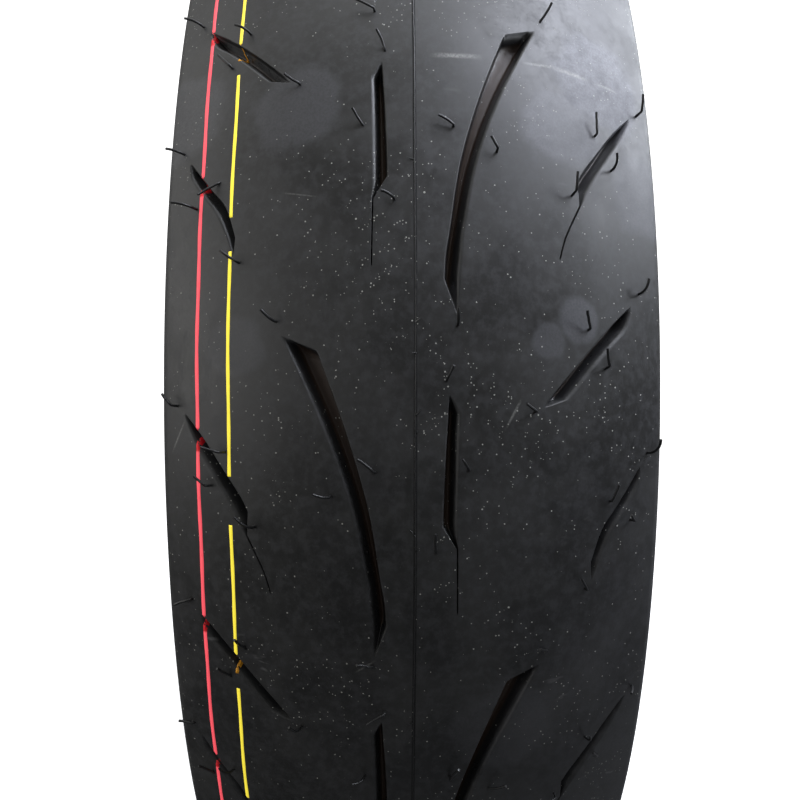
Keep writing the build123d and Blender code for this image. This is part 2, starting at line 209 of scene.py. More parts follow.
# name: (ribs, shift round the tyre, depth, depth of the fine slit, ramp at each end, outer slope,
# share of the depth that the floor starts at, beside the inner wall)
GROOVES = {
    "long": (LONG, 0, 6.5, 0, (9, 2.2), 0.38, 0.72),
    "short": (SHORT, -HALF_PITCH, 6.0, 3.0, (4, 5), 0.22, 0.85),
    "upper_leaf": (UPPER_LEAF, 0, 5.0, 3.0, (5, 6), 0.35, 0.38),
    "slash": (SLASH, -HALF_PITCH, 5.0, 0, (8, 6), 0.35, 0.42),
    "lower_leaf": (LOWER_LEAF, -HALF_PITCH, 5.0, 0, (5, 6), 0.35, 0.5),
}
ROW_STEP = 2.2
INNER_SLOPE = 0.12
INNER_LIP = 0.55
OUTER_LIP = 1.6
SLIT_WIDTH = 1.0            # a groove with a slit starts where it is wider than this
SLIT_END = 2.0              # how far the slit runs on at its own depth under the groove's ramp
SLIT_RAMP = 1.5


def smooth_through(points, steps):
    """Points on a Catmull-Rom curve through the given ones, steps[i] of them in span i."""
    ends = [points[0]] + list(points) + [points[-1]]
    out = []
    for i, count in enumerate(steps):
        a, b, c, d = (np.array(ends[i + k], float) for k in range(4))
        for k in range(count):
            u = k / count
            out.append(0.5 * (2 * b + (c - a) * u + (2 * a - 5 * b + 4 * c - d) * u**2
                              + (3 * b - a - 3 * c + d) * u**3))
    out.append(np.array(points[-1], float))
    return out


def groove_rows(ribs):
    """The inner and outer edge, sampled together."""
    inner, outer = [p[0] for p in ribs], [p[1] for p in ribs]
    spans = [math.dist(ribs[i][0], ribs[i + 1][0]) for i in range(len(ribs) - 1)]
    steps = [max(3, round(span / ROW_STEP)) if span else 1 for span in spans]
    rows = list(zip(smooth_through(inner, steps), smooth_through(outer, steps)))
    kept = [rows[0]]
    for row in rows[1:]:
        if np.linalg.norm(row[0] - kept[-1][0]) + np.linalg.norm(row[1] - kept[-1][1]) > 0.05:
            kept.append(row)
    return kept


def section(depth, slope, share):
    """Distances from the inner lip and depths down to the floor, and the same from the outer lip."""
    wall = depth * share
    foot = INNER_LIP + wall * INNER_SLOPE
    inner = [(0, 0), (0.24, 0.06), (0.46, 0.28), (INNER_LIP + 0.4 * INNER_SLOPE, 0.70)]
    inner += [(foot - 0.08, max(1.0, wall - 0.5)), (foot + 0.15, wall + 0.02), (foot + 0.6, wall + 0.2)]
    outer = [(0, 0)]
    for k in (1, 2, 3, 4):
        turn = k / 4 * (math.pi / 2 - math.atan(slope))
        outer.append((OUTER_LIP * math.sin(turn), OUTER_LIP * (1 - math.cos(turn))))
    lip_y, lip_d = outer[-1]
    outer.append((lip_y + (depth - 0.6 - lip_d) * slope, depth - 0.6))
    outer.append((lip_y + (depth - lip_d) * slope + 0.1, depth - 0.1))
    outer.append((lip_y + (depth - lip_d) * slope + 0.6, depth))
    return inner, outer


def groove_patch(ribs, shift, depth, slit, ramps, slope, share):
    """Rows of (s, t, depth) across the groove."""
    rows = groove_rows(ribs)
    inner, outer = section(depth, slope, share)
    needed = inner[-1][0] + outer[-1][0]
    along = [0.0]
    for a, b in zip(rows, rows[1:]):
        along.append(along[-1] + float(np.linalg.norm((b[0] + b[1] - a[0] - a[1]) / 2)))
    total = along[-1]
    # a slit, where there is one, is the first stretch, up to where the ribs widen
    widths = [float(np.linalg.norm(b - a)) for a, b in rows]
    slit_end = 0.0
    if slit:
        slit_end = next(d for d, w in zip(along, widths) if w > SLIT_WIDTH)
    grid = []
    for (a, b), d, w in zip(rows, along, widths):
        shrink = min(1.0, w / needed)
        from_start, from_end = d - slit_end, total - d
        fade = min(1.0, max(0.0, from_start) / ramps[0], from_end / ramps[1])
        fade = math.sin(fade * math.pi / 2)
        deep = shrink * fade
        if slit and from_start < SLIT_END:
            deep = max(deep, slit / depth * min(1.0, d / SLIT_RAMP))
        across = (b - a) / w
        row = []
        for off, down in inner:
            row.append((*(a + across * off * shrink), down * deep))
        for off, down in reversed(outer):
            row.append((*(b - across * off * shrink), down * deep))
        grid.append([(s, t + shift, z) for s, t, z in row])
    return grid


patches = {name: groove_patch(*spec) for name, spec in GROOVES.items()}
print("groove rows", {name: len(grid) for name, grid in patches.items()})

# %% [markdown]
# ## One pitch of the tread
# The tread repeats nine times round the tyre, and its left half is its right half mirrored and
# turned by half a pitch. So only the right half of one pitch is modelled. The plain land between
# the grooves is triangulated with the groove outlines as fixed edges, which keeps every lip
# crisp, and the grooves are grids of their own. The pitch's two ends follow a line that no groove
# crosses, and a skirt and an underside close the rubber, so that the copies make one solid.

# %% Where a pitch begins, and what lies in it
SEAM_AT, SEAM_DROP, SEAM_FROM, SEAM_OVER = 9.0, 24.0, 19, 20


def seam(s):
    """Where the pitch begins, at s across: a line that passes between the grooves."""
    u = min(1.0, max(0.0, (s - SEAM_FROM) / SEAM_OVER))
    return SEAM_AT - SEAM_DROP * u * u * (3 - 2 * u)


def outline(grid):
    """The grid's outer loop, without points on top of each other."""
    loop = list(grid[0]) + [row[-1] for row in grid[1:-1]] + list(reversed(grid[-1]))
    loop += [row[0] for row in reversed(grid[1:-1])]
    kept = []
    for s, t, _ in loop:
        if not kept or math.dist(kept[-1], (s, t)) > 1e-4:
            kept.append((s, t))
    return kept


def lower(t, s):
    """t moved by whole pitches until it lies above the seam."""
    return t + PITCH * math.ceil((seam(s) - t) / PITCH)


def pitch_shift(grid):
    """Whole pitches that bring a groove between the two seams."""
    middle = grid[len(grid) // 2][0]
    return lower(middle[1], middle[0]) - middle[1]


def inside(point, loop):
    s, t = point
    hit = False
    for (s0, t0), (s1, t1) in zip(loop, loop[1:] + loop[:1]):
        if (t0 > t) != (t1 > t) and s < (s1 - s0) * (t - t0) / (t1 - t0) + s0:
            hit = not hit
    return hit


grids = []
for grid in patches.values():
    move = pitch_shift(grid)
    grids.append([[(s, t + move, z) for s, t, z in row] for row in grid])
loops = [outline(grid) for grid in grids]
print("groove outlines", [len(loop) for loop in loops])

# %% Triangulate the land
ROWS = 56                   # round one pitch
LAND_STEP_S = 4.4
CLEAR = 1.4                 # no loose point lies nearer to a groove than this
step_t = PITCH / ROWS
columns = [0.0, 0.5] + [LAND_STEP_S * k for k in range(1, int(CROWN_S / LAND_STEP_S))]
columns += [CROWN_S - 1.2, CROWN_S]
columns += [CROWN_S + (EDGE_S - CROWN_S) * k / 5 for k in range(1, 6)]
loop_points = np.array([p for loop in loops for p in loop])

border = [(0.0, seam(0) + k * step_t) for k in range(ROWS)]
border += [(s, seam(s) + PITCH) for s in columns[:-1]]
border += [(EDGE_S, seam(EDGE_S) + PITCH - k * step_t) for k in range(ROWS)]
border += [(s, seam(s)) for s in reversed(columns[1:])]
points = list(border)
faces_in = [list(range(len(border)))]
edges_in = []
for loop in loops:
    first = len(points)
    points += loop
    edges_in += [(first + k, first + (k + 1) % len(loop)) for k in range(len(loop))]
for s in columns[1:-1]:
    for k in range(1, ROWS):
        p = (s, seam(s) + k * step_t)
        near = np.min(np.hypot(loop_points[:, 0] - p[0], loop_points[:, 1] - p[1]))
        if near > CLEAR and not any(inside(p, loop) for loop in loops):
            points.append(p)
land_points, _, land_faces, _, _, _ = geometry.delaunay_2d_cdt(
    [Vector(p) for p in points], edges_in, faces_in, 1, 1e-5)
print("land", len(land_points), "points", len(land_faces), "faces")

# %% Join the grooves, the skirt and the underside to it
UNDERSIDE = -1.0            # the mark on points that are neither land nor groove
UNDER_COLUMNS = (86, 78, 68, 56, 42, 28, 14, 0)
verts, faces, deep = [], [], []
for p in land_points:
    verts.append(on_tread(p.x, p.y))
    deep.append(0.0)
for face in land_faces:
    centre = sum((land_points[i] for i in face), Vector((0, 0))) / len(face)
    if not any(inside(centre, loop) for loop in loops):
        faces.append(tuple(face))
for grid in grids:
    first, width = len(verts), len(grid[0])
    for row in grid:
        for s, t, z in row:
            verts.append(on_tread(s, t, z))
            deep.append(z)
    for i in range(len(grid) - 1):
        for j in range(width - 1):
            a = first + i * width + j
            faces.append((a, a + width, a + width + 1, a + 1))

under_points = [(HALF_WIDTH, EDGE_AT, EDGE_S)]
for s in UNDER_COLUMNS:
    p = on_tread(s, 0, TREAD_THICK) / MM
    under_points.append((p.y, p.x, s))
first, width = len(verts), len(under_points)
for k in range(ROWS + 1):
    for y, r, s in under_points:
        verts.append(on_wheel(y, r, (seam(s) + k * step_t) / TREAD_R))
        deep.append(UNDERSIDE)
for k in range(ROWS):
    for j in range(width - 1):
        a = first + k * width + j
        faces.append((a, a + width, a + width + 1, a + 1))

pitch_piece = make_piece("tread_pitch", verts, faces)
with edited(pitch_piece) as bm:
    depth_layer = bm.verts.layers.float.new("depth")
    for v, depth in zip(bm.verts, deep):
        v[depth_layer] = depth
    bmesh.ops.remove_doubles(bm, verts=bm.verts, dist=0.01 * MM)
    bmesh.ops.recalc_face_normals(bm, faces=bm.faces)
    outer = max(bm.faces, key=lambda f: f.calc_center_median().length)
    if outer.normal.dot(outer.calc_center_median()) < 0:
        bmesh.ops.reverse_faces(bm, faces=bm.faces)
print("pitch faces", len(pitch_piece.data.polygons), "edges to be met", open_edges(pitch_piece))

# %% [markdown]
# ## Repeat it round the axle
# A small Geometry Nodes tree does what the mould does: it mirrors the half, turns it by half a
# pitch, and sets nine copies round the axle. Their edges meet point on point, so merging them
# leaves one closed piece. The number of pitches and the merge distance are inputs.

# %% Geometry Nodes helpers
def new_tree(name, inputs):
    """A geometry tree with named inputs, {name: (socket type, default)}, and its two ends' sockets."""
    tree = bpy.data.node_groups.new(name, "GeometryNodeTree")
    tree.interface.new_socket("Geometry", in_out="INPUT", socket_type="NodeSocketGeometry")
    tree.interface.new_socket("Geometry", in_out="OUTPUT", socket_type="NodeSocketGeometry")
    for key, (kind, value) in inputs.items():
        socket = tree.interface.new_socket(key, in_out="INPUT", socket_type=kind)
        if value is not None:
            socket.default_value = value
    return tree, tree.nodes.new("NodeGroupInput").outputs, tree.nodes.new("NodeGroupOutput").inputs


def add_node(tree, kind, values=None, **links):
    """A node with values set, and its inputs linked by name to a socket or a node's first output."""
    node = tree.nodes.new(kind)
    for key, value in (values or {}).items():
        if key in node.inputs:
            node.inputs[key].default_value = value
        else:
            setattr(node, key, value)
    for key, source in links.items():
        source = source.outputs[0] if hasattr(source, "outputs") else source
        feed(source, node.inputs[key.replace("_", " ")])
    return node


def feed(value, socket):
    """Links value into socket if it is a socket too, and sets it there if it is a number."""
    if hasattr(value, "links"):
        socket.id_data.links.new(value, socket)
    elif value is not None:
        socket.default_value = value


def maths(operation, a, b=None, clamp=False):
    node = (a if hasattr(a, "links") else b).id_data.nodes.new("ShaderNodeMath")
    node.operation = operation
    node.use_clamp = clamp
    for value, socket in zip((a, b), node.inputs):
        feed(value, socket)
    return node.outputs[0]


def grow(piece, tree, values, name):
    """Runs the tree on piece with its inputs set, and returns the result as a plain mesh object."""
    modifier = piece.modifiers.new("grow", "NODES")
    modifier.node_group = tree
    for item in tree.interface.items_tree:
        if item.in_out == "INPUT" and item.name in values:
            modifier[item.identifier] = values[item.name]
    graph = bpy.context.evaluated_depsgraph_get()
    mesh = bpy.data.meshes.new_from_object(piece.evaluated_get(graph), depsgraph=graph)
    piece.modifiers.remove(modifier)
    mesh.name = name
    bpy.data.objects.remove(piece)
    return put_in_scene(name, mesh)


def finish_tree(tree, geometry_out, given, result):
    """Ends a tree: copies are made real, and everything gets the material."""
    real = add_node(tree, "GeometryNodeRealizeInstances", Geometry=geometry_out)
    done = add_node(tree, "GeometryNodeSetMaterial", Geometry=real, Material=given["Material"])
    feed(done.outputs[0], result[0])

# %% A tree that sets a pitch round the axle
ring_tree, ring_in, ring_out = new_tree("Tread from one pitch", {
    "Pitches": ("NodeSocketInt", PITCHES),
    "Half Turn": ("NodeSocketFloat", math.pi / PITCHES),
    "Merge Distance": ("NodeSocketFloat", 0.02 * MM),
    "Material": ("NodeSocketMaterial", None),
})
half_turn = add_node(ring_tree, "ShaderNodeCombineXYZ", Y=ring_in["Half Turn"])
mirrored = add_node(ring_tree, "GeometryNodeTransform", {"Scale": (1, -1, 1)},
                    Geometry=ring_in["Geometry"], Rotation=half_turn)
turned_out = add_node(ring_tree, "GeometryNodeFlipFaces", Mesh=mirrored)
both = add_node(ring_tree, "GeometryNodeJoinGeometry", Geometry=ring_in["Geometry"])
feed(turned_out.outputs[0], both.inputs[0])
spots = add_node(ring_tree, "GeometryNodePoints", Count=ring_in["Pitches"])
index = add_node(ring_tree, "GeometryNodeInputIndex")
half_turns = maths("MULTIPLY", index.outputs[0], ring_in["Half Turn"])
angle = add_node(ring_tree, "ShaderNodeCombineXYZ", Y=maths("MULTIPLY", half_turns, 2.0))
copies = add_node(ring_tree, "GeometryNodeInstanceOnPoints", Points=spots,
                  Instance=both, Rotation=angle)
real = add_node(ring_tree, "GeometryNodeRealizeInstances", Geometry=copies)
merged = add_node(ring_tree, "GeometryNodeMergeByDistance", Geometry=real,
                  Distance=ring_in["Merge Distance"])
finish_tree(ring_tree, merged.outputs[0], ring_in, ring_out)
print("tree", ring_tree.name, len(ring_tree.nodes), "nodes")

# %% [markdown]
# ## Finishes
# New tyre rubber is a dark, slightly glossy black with a fine skin. The same effects come back
# from material to material, so each is a node group: the skin's grain, dust, the soft smudges
# that hands and mould release leave, rubbed marks, and cords laid side by side. Each reads Object
# coordinates, which are the tyre's own, so nothing slides.

# %% Node group helpers
def new_group(name, inputs, outputs):
    """A shader group with named number sockets, and its two ends' sockets."""
    group = bpy.data.node_groups.new(name, "ShaderNodeTree")
    group.interface.new_socket("Position", in_out="INPUT", socket_type="NodeSocketVector")
    for key, value in inputs.items():
        kind = "NodeSocketVector" if isinstance(value, tuple) else "NodeSocketFloat"
        socket = group.interface.new_socket(key, in_out="INPUT", socket_type=kind)
        socket.default_value = value
    for key in outputs:
        group.interface.new_socket(key, in_out="OUTPUT", socket_type="NodeSocketFloat")
    return group, group.nodes.new("NodeGroupInput").outputs, group.nodes.new("NodeGroupOutput").inputs


def noise(position, scale, detail=4.0, rough=0.6):
    """A noise texture; scale is a number or a socket."""
    node = position.id_data.nodes.new("ShaderNodeTexNoise")
    node.inputs["Detail"].default_value = detail
    node.inputs["Roughness"].default_value = rough
    feed(position, node.inputs["Vector"])
    feed(scale, node.inputs["Scale"])
    return node.outputs["Fac"]


def vector_maths(operation, a, b=None, scale=None):
    node = a.id_data.nodes.new("ShaderNodeVectorMath")
    node.operation = operation
    for value, index in ((a, 0), (b, 1), (scale, 3)):
        feed(value, node.inputs[index])
    return node.outputs[1 if operation in ("DOT_PRODUCT", "LENGTH") else 0]


def plus(base, mask, amount, clamp=False):
    """base, with amount times mask added to it."""
    return maths("ADD", base, maths("MULTIPLY", mask, amount), clamp)


def moved(place, direction, distance):
    """place, moved along direction by distance."""
    return vector_maths("ADD", place, vector_maths("SCALE", direction, scale=distance))


def stored(tree, name):
    """A value that the mesh's points carry, for a material."""
    node = tree.nodes.new("ShaderNodeAttribute")
    node.attribute_name = name
    return node.outputs["Fac"]


def remap(value, low, high, to_low=0.0, to_high=1.0, smooth=True):
    """value from low..high to to_low..to_high, held at both ends."""
    node = value.id_data.nodes.new("ShaderNodeMapRange")
    node.interpolation_type = "SMOOTHSTEP" if smooth else "LINEAR"
    keys = ("Value", "From Min", "From Max", "To Min", "To Max")
    for key, number in zip(keys, (value, low, high, to_low, to_high)):
        feed(number, node.inputs[key])
    return node.outputs["Result"]


def mix_colours(mask, a, b):
    node = mask.id_data.nodes.new("ShaderNodeMix")
    node.data_type = "RGBA"
    feed(mask, node.inputs[0])
    for value, index in ((a, 6), (b, 7)):
        feed((*value, 1) if isinstance(value, tuple) else value, node.inputs[index])
    return node.outputs[2]

# %% Grain, and specks of dust with a film
grain_group, g_in, g_out = new_group("Rubber grain", {"Scale": 900.0}, ["Height", "Tone"])
fine = noise(g_in["Position"], g_in["Scale"], 3.0)
slow_scale = maths("MULTIPLY", g_in["Scale"], 0.08)
slow = noise(g_in["Position"], slow_scale, 2.0)
feed(plus(fine, slow, 1.5), g_out["Height"])
feed(remap(fine, 0.3, 0.7), g_out["Tone"])


def specks(position, scale, amount, radius):
    """Mask of round specks: one in some of the cells of a grid of random points."""
    tree = position.id_data
    cells = tree.nodes.new("ShaderNodeTexVoronoi")
    feed(position, cells.inputs["Vector"])
    cells.inputs["Scale"].default_value = scale
    red = tree.nodes.new("ShaderNodeSeparateColor")
    feed(cells.outputs["Color"], red.inputs[0])
    chosen = maths("LESS_THAN", red.outputs[0], amount)
    size = maths("MULTIPLY", red.outputs[1], radius)
    near = maths("LESS_THAN", cells.outputs["Distance"], size)
    return maths("MULTIPLY", chosen, near)


dust_group, d_in, d_out = new_group("Dust", {"Amount": 0.3, "Film": 0.3}, ["Specks", "Film"])
place = d_in["Position"]
patchy = remap(noise(place, 26.0, 3.0), 0.44, 0.66, 0.12, 1.0)
share = maths("MULTIPLY", patchy, d_in["Amount"])
large = specks(place, 330.0, maths("MULTIPLY", share, 0.18), 0.12)
small = specks(place, 1100.0, maths("MULTIPLY", share, 0.75), 0.30)
feed(maths("MAXIMUM", large, small), d_out["Specks"])
film = remap(noise(place, 9.0, 6.0, 0.7), 0.42, 0.72)
film = maths("MULTIPLY", film, d_in["Film"])
feed(film, d_out["Film"])

# %% Smudges and scratches
smudge_group, s_in, s_out = new_group("Smudges", {"Scale": 34.0, "Streaks": 0.5}, ["Mask", "Scratches"])
blur = noise(s_in["Position"], s_in["Scale"], 5.0, 0.62)
feed(remap(blur, 0.36, 0.66), s_out["Mask"])
stretch = smudge_group.nodes.new("ShaderNodeMapping")
stretch.inputs["Scale"].default_value = (260, 14, 260)
feed(s_in["Position"], stretch.inputs["Vector"])
lines = noise(stretch.outputs[0], 1.0, 2.0, 0.5)
where = remap(noise(s_in["Position"], 24.0, 2.0), 0.56, 0.68)
marks = maths("MULTIPLY", remap(lines, 0.66, 0.74), where)
feed(maths("MULTIPLY", marks, s_in["Streaks"]), s_out["Scratches"])

# %% Rub marks
# A mark rubbed into the surface: a stroke from its centre along a direction, or a disc if it has none
mark_group, m, m_out = new_group("Rub mark", {
    "Centre": (0.0, 0.0, 0.0), "Along": (0.0, 0.0, 0.0), "Half Length": 0.02, "Half Width": 0.01,
    "Edge": 0.6, "Grit": 1200.0, "Solid": 0.35}, ["Mask"])
away = vector_maths("SUBTRACT", m["Position"], m["Centre"])
down_it = vector_maths("DOT_PRODUCT", away, m["Along"])
aside = vector_maths("SUBTRACT", away, vector_maths("SCALE", m["Along"], scale=down_it))
aside = vector_maths("LENGTH", aside)
wobble = plus(0.45, noise(m["Position"], 48.0, 5.0), 1.1)
aside = maths("MULTIPLY", aside, wobble)
across_it = remap(aside, maths("MULTIPLY", m["Half Width"], m["Edge"]), m["Half Width"], 1.0, 0.0)
along_it = remap(maths("ABSOLUTE", down_it),
                 maths("MULTIPLY", m["Half Length"], m["Edge"]), m["Half Length"], 1.0, 0.0)
gritty = remap(noise(m["Position"], m["Grit"], 3.0), 0.35, 0.65, m["Solid"], 1.0)
mask = maths("MULTIPLY", maths("MULTIPLY", across_it, along_it), gritty)
feed(mask, m_out["Mask"])

# %% Cords
# Cords laid side by side: so many in a turn round the axle, and so many in a metre along it
cord_group, c_in, c_out = new_group("Cords", {"In A Turn": 0.0, "Per Metre": 0.0}, ["Height", "Tone"])
parts = cord_group.nodes.new("ShaderNodeSeparateXYZ")
feed(c_in["Position"], parts.inputs[0])
turned = maths("ARCTAN2", parts.outputs["Z"], parts.outputs["X"])
per_metre = maths("MULTIPLY", c_in["Per Metre"], 2 * math.pi)
phase = maths("MULTIPLY", turned, c_in["In A Turn"])
ridge = maths("SINE", plus(phase, parts.outputs["Y"], per_metre))
feed(ridge, c_out["Height"])
feed(remap(ridge, -1, 1), c_out["Tone"])

# %% Rubber from the groups
def group_node(group, position, **values):
    """A group, read at position, with its inputs set by name."""
    node = position.id_data.nodes.new("ShaderNodeGroup")
    node.node_tree = group
    feed(position, node.inputs["Position"])
    for key, value in values.items():
        node.inputs[key.replace("_", " ")].default_value = value
    return node


def start_material(name):
    """An empty material with its shader, and Object coordinates to read."""
    material = bpy.data.materials.new(name)
    material.use_nodes = True
    tree = material.node_tree
    shader = tree.nodes["Principled BSDF"]
    place = tree.nodes.new("ShaderNodeTexCoord").outputs["Object"]
    return material, tree, shader, place


def add_bump(shader, height, strength, distance):
    """Raises the surface by height, at most distance mm."""
    bump = shader.id_data.nodes.new("ShaderNodeBump")
    bump.inputs["Strength"].default_value = strength
    bump.inputs["Distance"].default_value = distance * MM
    feed(height, bump.inputs["Height"])
    feed(bump.outputs["Normal"], shader.inputs["Normal"])


FILM, SCRATCH, SPECK = (0.055, 0.055, 0.060), (0.16, 0.16, 0.16), (0.34, 0.34, 0.31)


def rubber(name, dark, light, roughness, dust=0.3, film=0.3, streaks=0.5, grain=0.03, scale=900.0,
           marks=None):
    """Black rubber: dark to light by smudge, dust over it, and a fine skin."""
    material, tree, shader, place = start_material(name)
    skin = group_node(grain_group, place, Scale=scale)
    dusty = group_node(dust_group, place, Amount=dust, Film=film)
    smudged = group_node(smudge_group, place, Streaks=streaks)
    colour = mix_colours(smudged.outputs["Mask"], dark, light)
    rough = remap(smudged.outputs["Mask"], 0, 1, roughness - 0.04, roughness + 0.05)
    if marks:
        colour, rough = marks(tree, place, colour, rough)
    colour = mix_colours(dusty.outputs["Film"], colour, FILM)
    colour = mix_colours(smudged.outputs["Scratches"], colour, SCRATCH)
    colour = mix_colours(dusty.outputs["Specks"], colour, SPECK)
    feed(colour, shader.inputs["Base Color"])
    rough = plus(rough, skin.outputs["Tone"], 0.05)
    rough = plus(rough, dusty.outputs["Specks"], 0.4, clamp=True)
    feed(rough, shader.inputs["Roughness"])
    add_bump(shader, skin.outputs["Height"], 0.35, grain)
    return material

# %% [markdown]
# ## What has touched the tread, and painted shade
# A tyre that has been rolled about in a store has pale, soft-edged patches where it lay against
# something, and a few gritty strokes. Down in its grooves the rubber is painted darker with depth,
# a painted shade, and the fresher rubber on their floors is browner because the wax that keeps
# rubber from cracking has come to the surface there. A dark line along the very middle is painted
# shade for the parting line. The patches and strokes are placed by how far across and round the
# tread they lie.

# %% Where the marks are
GROOVE_SHADE_FROM, GROOVE_SHADE_FULL = 0.8, 2.6         # depths in a groove over which the painted shade comes in
BROWN_FROM, BROWN_FULL = 4.2, 5.6
PARTING_SHADE_HALF, PARTING_SHADE_EDGE = 0.3, 0.8         # the parting line's painted shade, a dark line, from the middle
# (across, round, radius, strength), in mm: pale patches
PATCHES = [
    (67, 112, 21, 0.9), (50, 88, 17, 0.55), (54, 21, 9, 0.35), (43, 14, 7, 0.25), (84, 70, 16, 0.35),
    (-38, 94, 17, 0.25), (-60, 12, 12, 0.22), (-84, 100, 20, 0.3), (30, -120, 20, 0.12),
]
# (across and round of both ends, half width, strength), in mm: gritty strokes
STROKES = [
    (4, 110, 25, 111, 1.4, 0.7), (36, 111, 50, 112, 0.8, 0.7), (46, 112, 64, 110.5, 1.1, 0.9),
    (64, 110.5, 76, 110, 0.8, 0.6), (34, -4, 28, -15, 0.5, 0.5), (-79, -12, -86, -26, 0.5, 0.7),
    (-30, 60, -44, 63, 0.4, 0.4), (20, 150, 44, 148, 0.9, 0.5), (-12, -90, -20, -96, 0.5, 0.4),
]

# %% Lay the marks on the rubber, and make every rubber
def at(across, around):
    """A place on the tread's surface, on the left half where across is below zero."""
    return on_tread(abs(across), around, 0, math.copysign(1, across))


def tread_marks_and_painted_shade(tree, place, colour, rough):
    """Patches, strokes, the grooves' painted shade and browner rubber, and the parting line's painted
    shade, over colour and rough.
    """
    for across, around, radius, strength in PATCHES:
        patch = group_node(mark_group, place, Centre=at(across, around), Edge=0.70, Solid=0.66,
                           Half_Width=radius * MM, Half_Length=1.0, Grit=1300.0).outputs["Mask"]
        patch = maths("MULTIPLY", patch, strength)
        colour = mix_colours(patch, colour, (0.15, 0.152, 0.170))
        rough = plus(rough, patch, 0.10)
    for s0, t0, s1, t1, half_width, strength in STROKES:
        start, end = at(s0, t0), at(s1, t1)
        stroke = group_node(mark_group, place, Centre=(start + end) / 2, Edge=0.2,
                            Along=(end - start).normalized(), Half_Width=half_width * MM,
                            Half_Length=(end - start).length / 2, Grit=1500.0).outputs["Mask"]
        colour = mix_colours(maths("MULTIPLY", stroke, strength), colour, (0.30, 0.30, 0.28))
    mottle = remap(noise(place, 300.0, 5.0, 0.7), 0.40, 0.68, 0.0, 0.30)
    colour = mix_colours(mottle, colour, (0.060, 0.061, 0.066))
    rough = plus(rough, mottle, 0.25)
    # painted shade: the rubber is made darker with depth down a groove, which also covers the pale
    # patches, strokes and mottle there
    below = remap(stored(tree, "depth"), GROOVE_SHADE_FROM, GROOVE_SHADE_FULL)
    brown = remap(stored(tree, "depth"), BROWN_FROM, BROWN_FULL)
    colour = mix_colours(maths("MULTIPLY", below, 0.9), colour, (0.013, 0.013, 0.014))
    colour = mix_colours(maths("MULTIPLY", brown, 0.9), colour, (0.050, 0.030, 0.019))
    rough = plus(plus(rough, below, -0.16), brown, 0.24)
    # painted shade: a matt, near-black line along the very middle stands in for the shadow of a fine
    # groove at the parting line
    parts = tree.nodes.new("ShaderNodeSeparateXYZ")
    feed(place, parts.inputs[0])
    parting_shade = remap(maths("ABSOLUTE", parts.outputs["Y"]), PARTING_SHADE_HALF * MM, PARTING_SHADE_EDGE * MM, 0.9, 0.0)
    colour = mix_colours(parting_shade, colour, (0.001, 0.001, 0.001))
    return colour, plus(rough, parting_shade, 0.45)


tread_rubber = rubber("tread_rubber", (0.0080, 0.0080, 0.0075), (0.021, 0.021, 0.020), 0.44,
                      0.42, 0.22, 0.5, marks=tread_marks_and_painted_shade)
side_rubber = rubber("sidewall_rubber", (0.010, 0.010, 0.011), (0.016, 0.016, 0.017), 0.42, 0.15, 0.2)
strip_rubber = rubber("rim_strip_rubber", (0.012, 0.012, 0.013), (0.020, 0.020, 0.020), 0.5, 0.1, 0.3)
hair_rubber = rubber("hair_rubber", (0.006, 0.006, 0.006), (0.010, 0.010, 0.010), 0.38, 0.0, 0.05)
liner_rubber = rubber("liner_rubber", (0.020, 0.020, 0.021), (0.034, 0.034, 0.034), 0.52, 0.2, 0.5)
base_rubber = rubber("base_rubber", (0.012, 0.011, 0.010), (0.020, 0.019, 0.018), 0.55, 0.0, 0.2)
filler_rubber = rubber("filler_rubber", (0.014, 0.013, 0.011), (0.022, 0.020, 0.018), 0.6, 0.0, 0.2)

# %% Cords and wire
def laid_cords(name, colour, gap_colour, in_a_turn, per_metre, roughness, metallic, height):
    """Cords side by side with rubber between them."""
    material, tree, shader, place = start_material(name)
    cords = group_node(cord_group, place, In_A_Turn=in_a_turn, Per_Metre=per_metre)
    skin = group_node(grain_group, place, Scale=1600.0)
    tone = remap(cords.outputs["Tone"], 0.1, 0.7)
    base = mix_colours(tone, gap_colour, colour)
    shade = mix_colours(maths("MULTIPLY", skin.outputs["Tone"], 0.35), base, gap_colour)
    feed(shade, shader.inputs["Base Color"])
    feed(remap(tone, 0, 1, 0.7, roughness), shader.inputs["Roughness"])
    shader.inputs["Metallic"].default_value = metallic
    add_bump(shader, cords.outputs["Height"], 0.6, height)
    return material


ply_cord = laid_cords("ply_cord", (0.30, 0.20, 0.10), (0.02, 0.018, 0.015), 1500.0, 0.0, 0.6, 0.0, 0.25)
bead_textile = laid_cords("bead_textile", (0.22, 0.20, 0.16), (0.03, 0.03, 0.03),
                          900.0, 500.0, 0.7, 0.0, 0.2)
belt_cord = laid_cords("belt_steel_cord", (0.60, 0.50, 0.32), (0.05, 0.04, 0.03),
                       1.0, 700.0, 0.35, 0.9, 0.3)
bead_steel = laid_cords("bead_steel", (0.66, 0.54, 0.36), (0.40, 0.32, 0.22),
                        260.0, 90.0, 0.30, 1.0, 0.02)

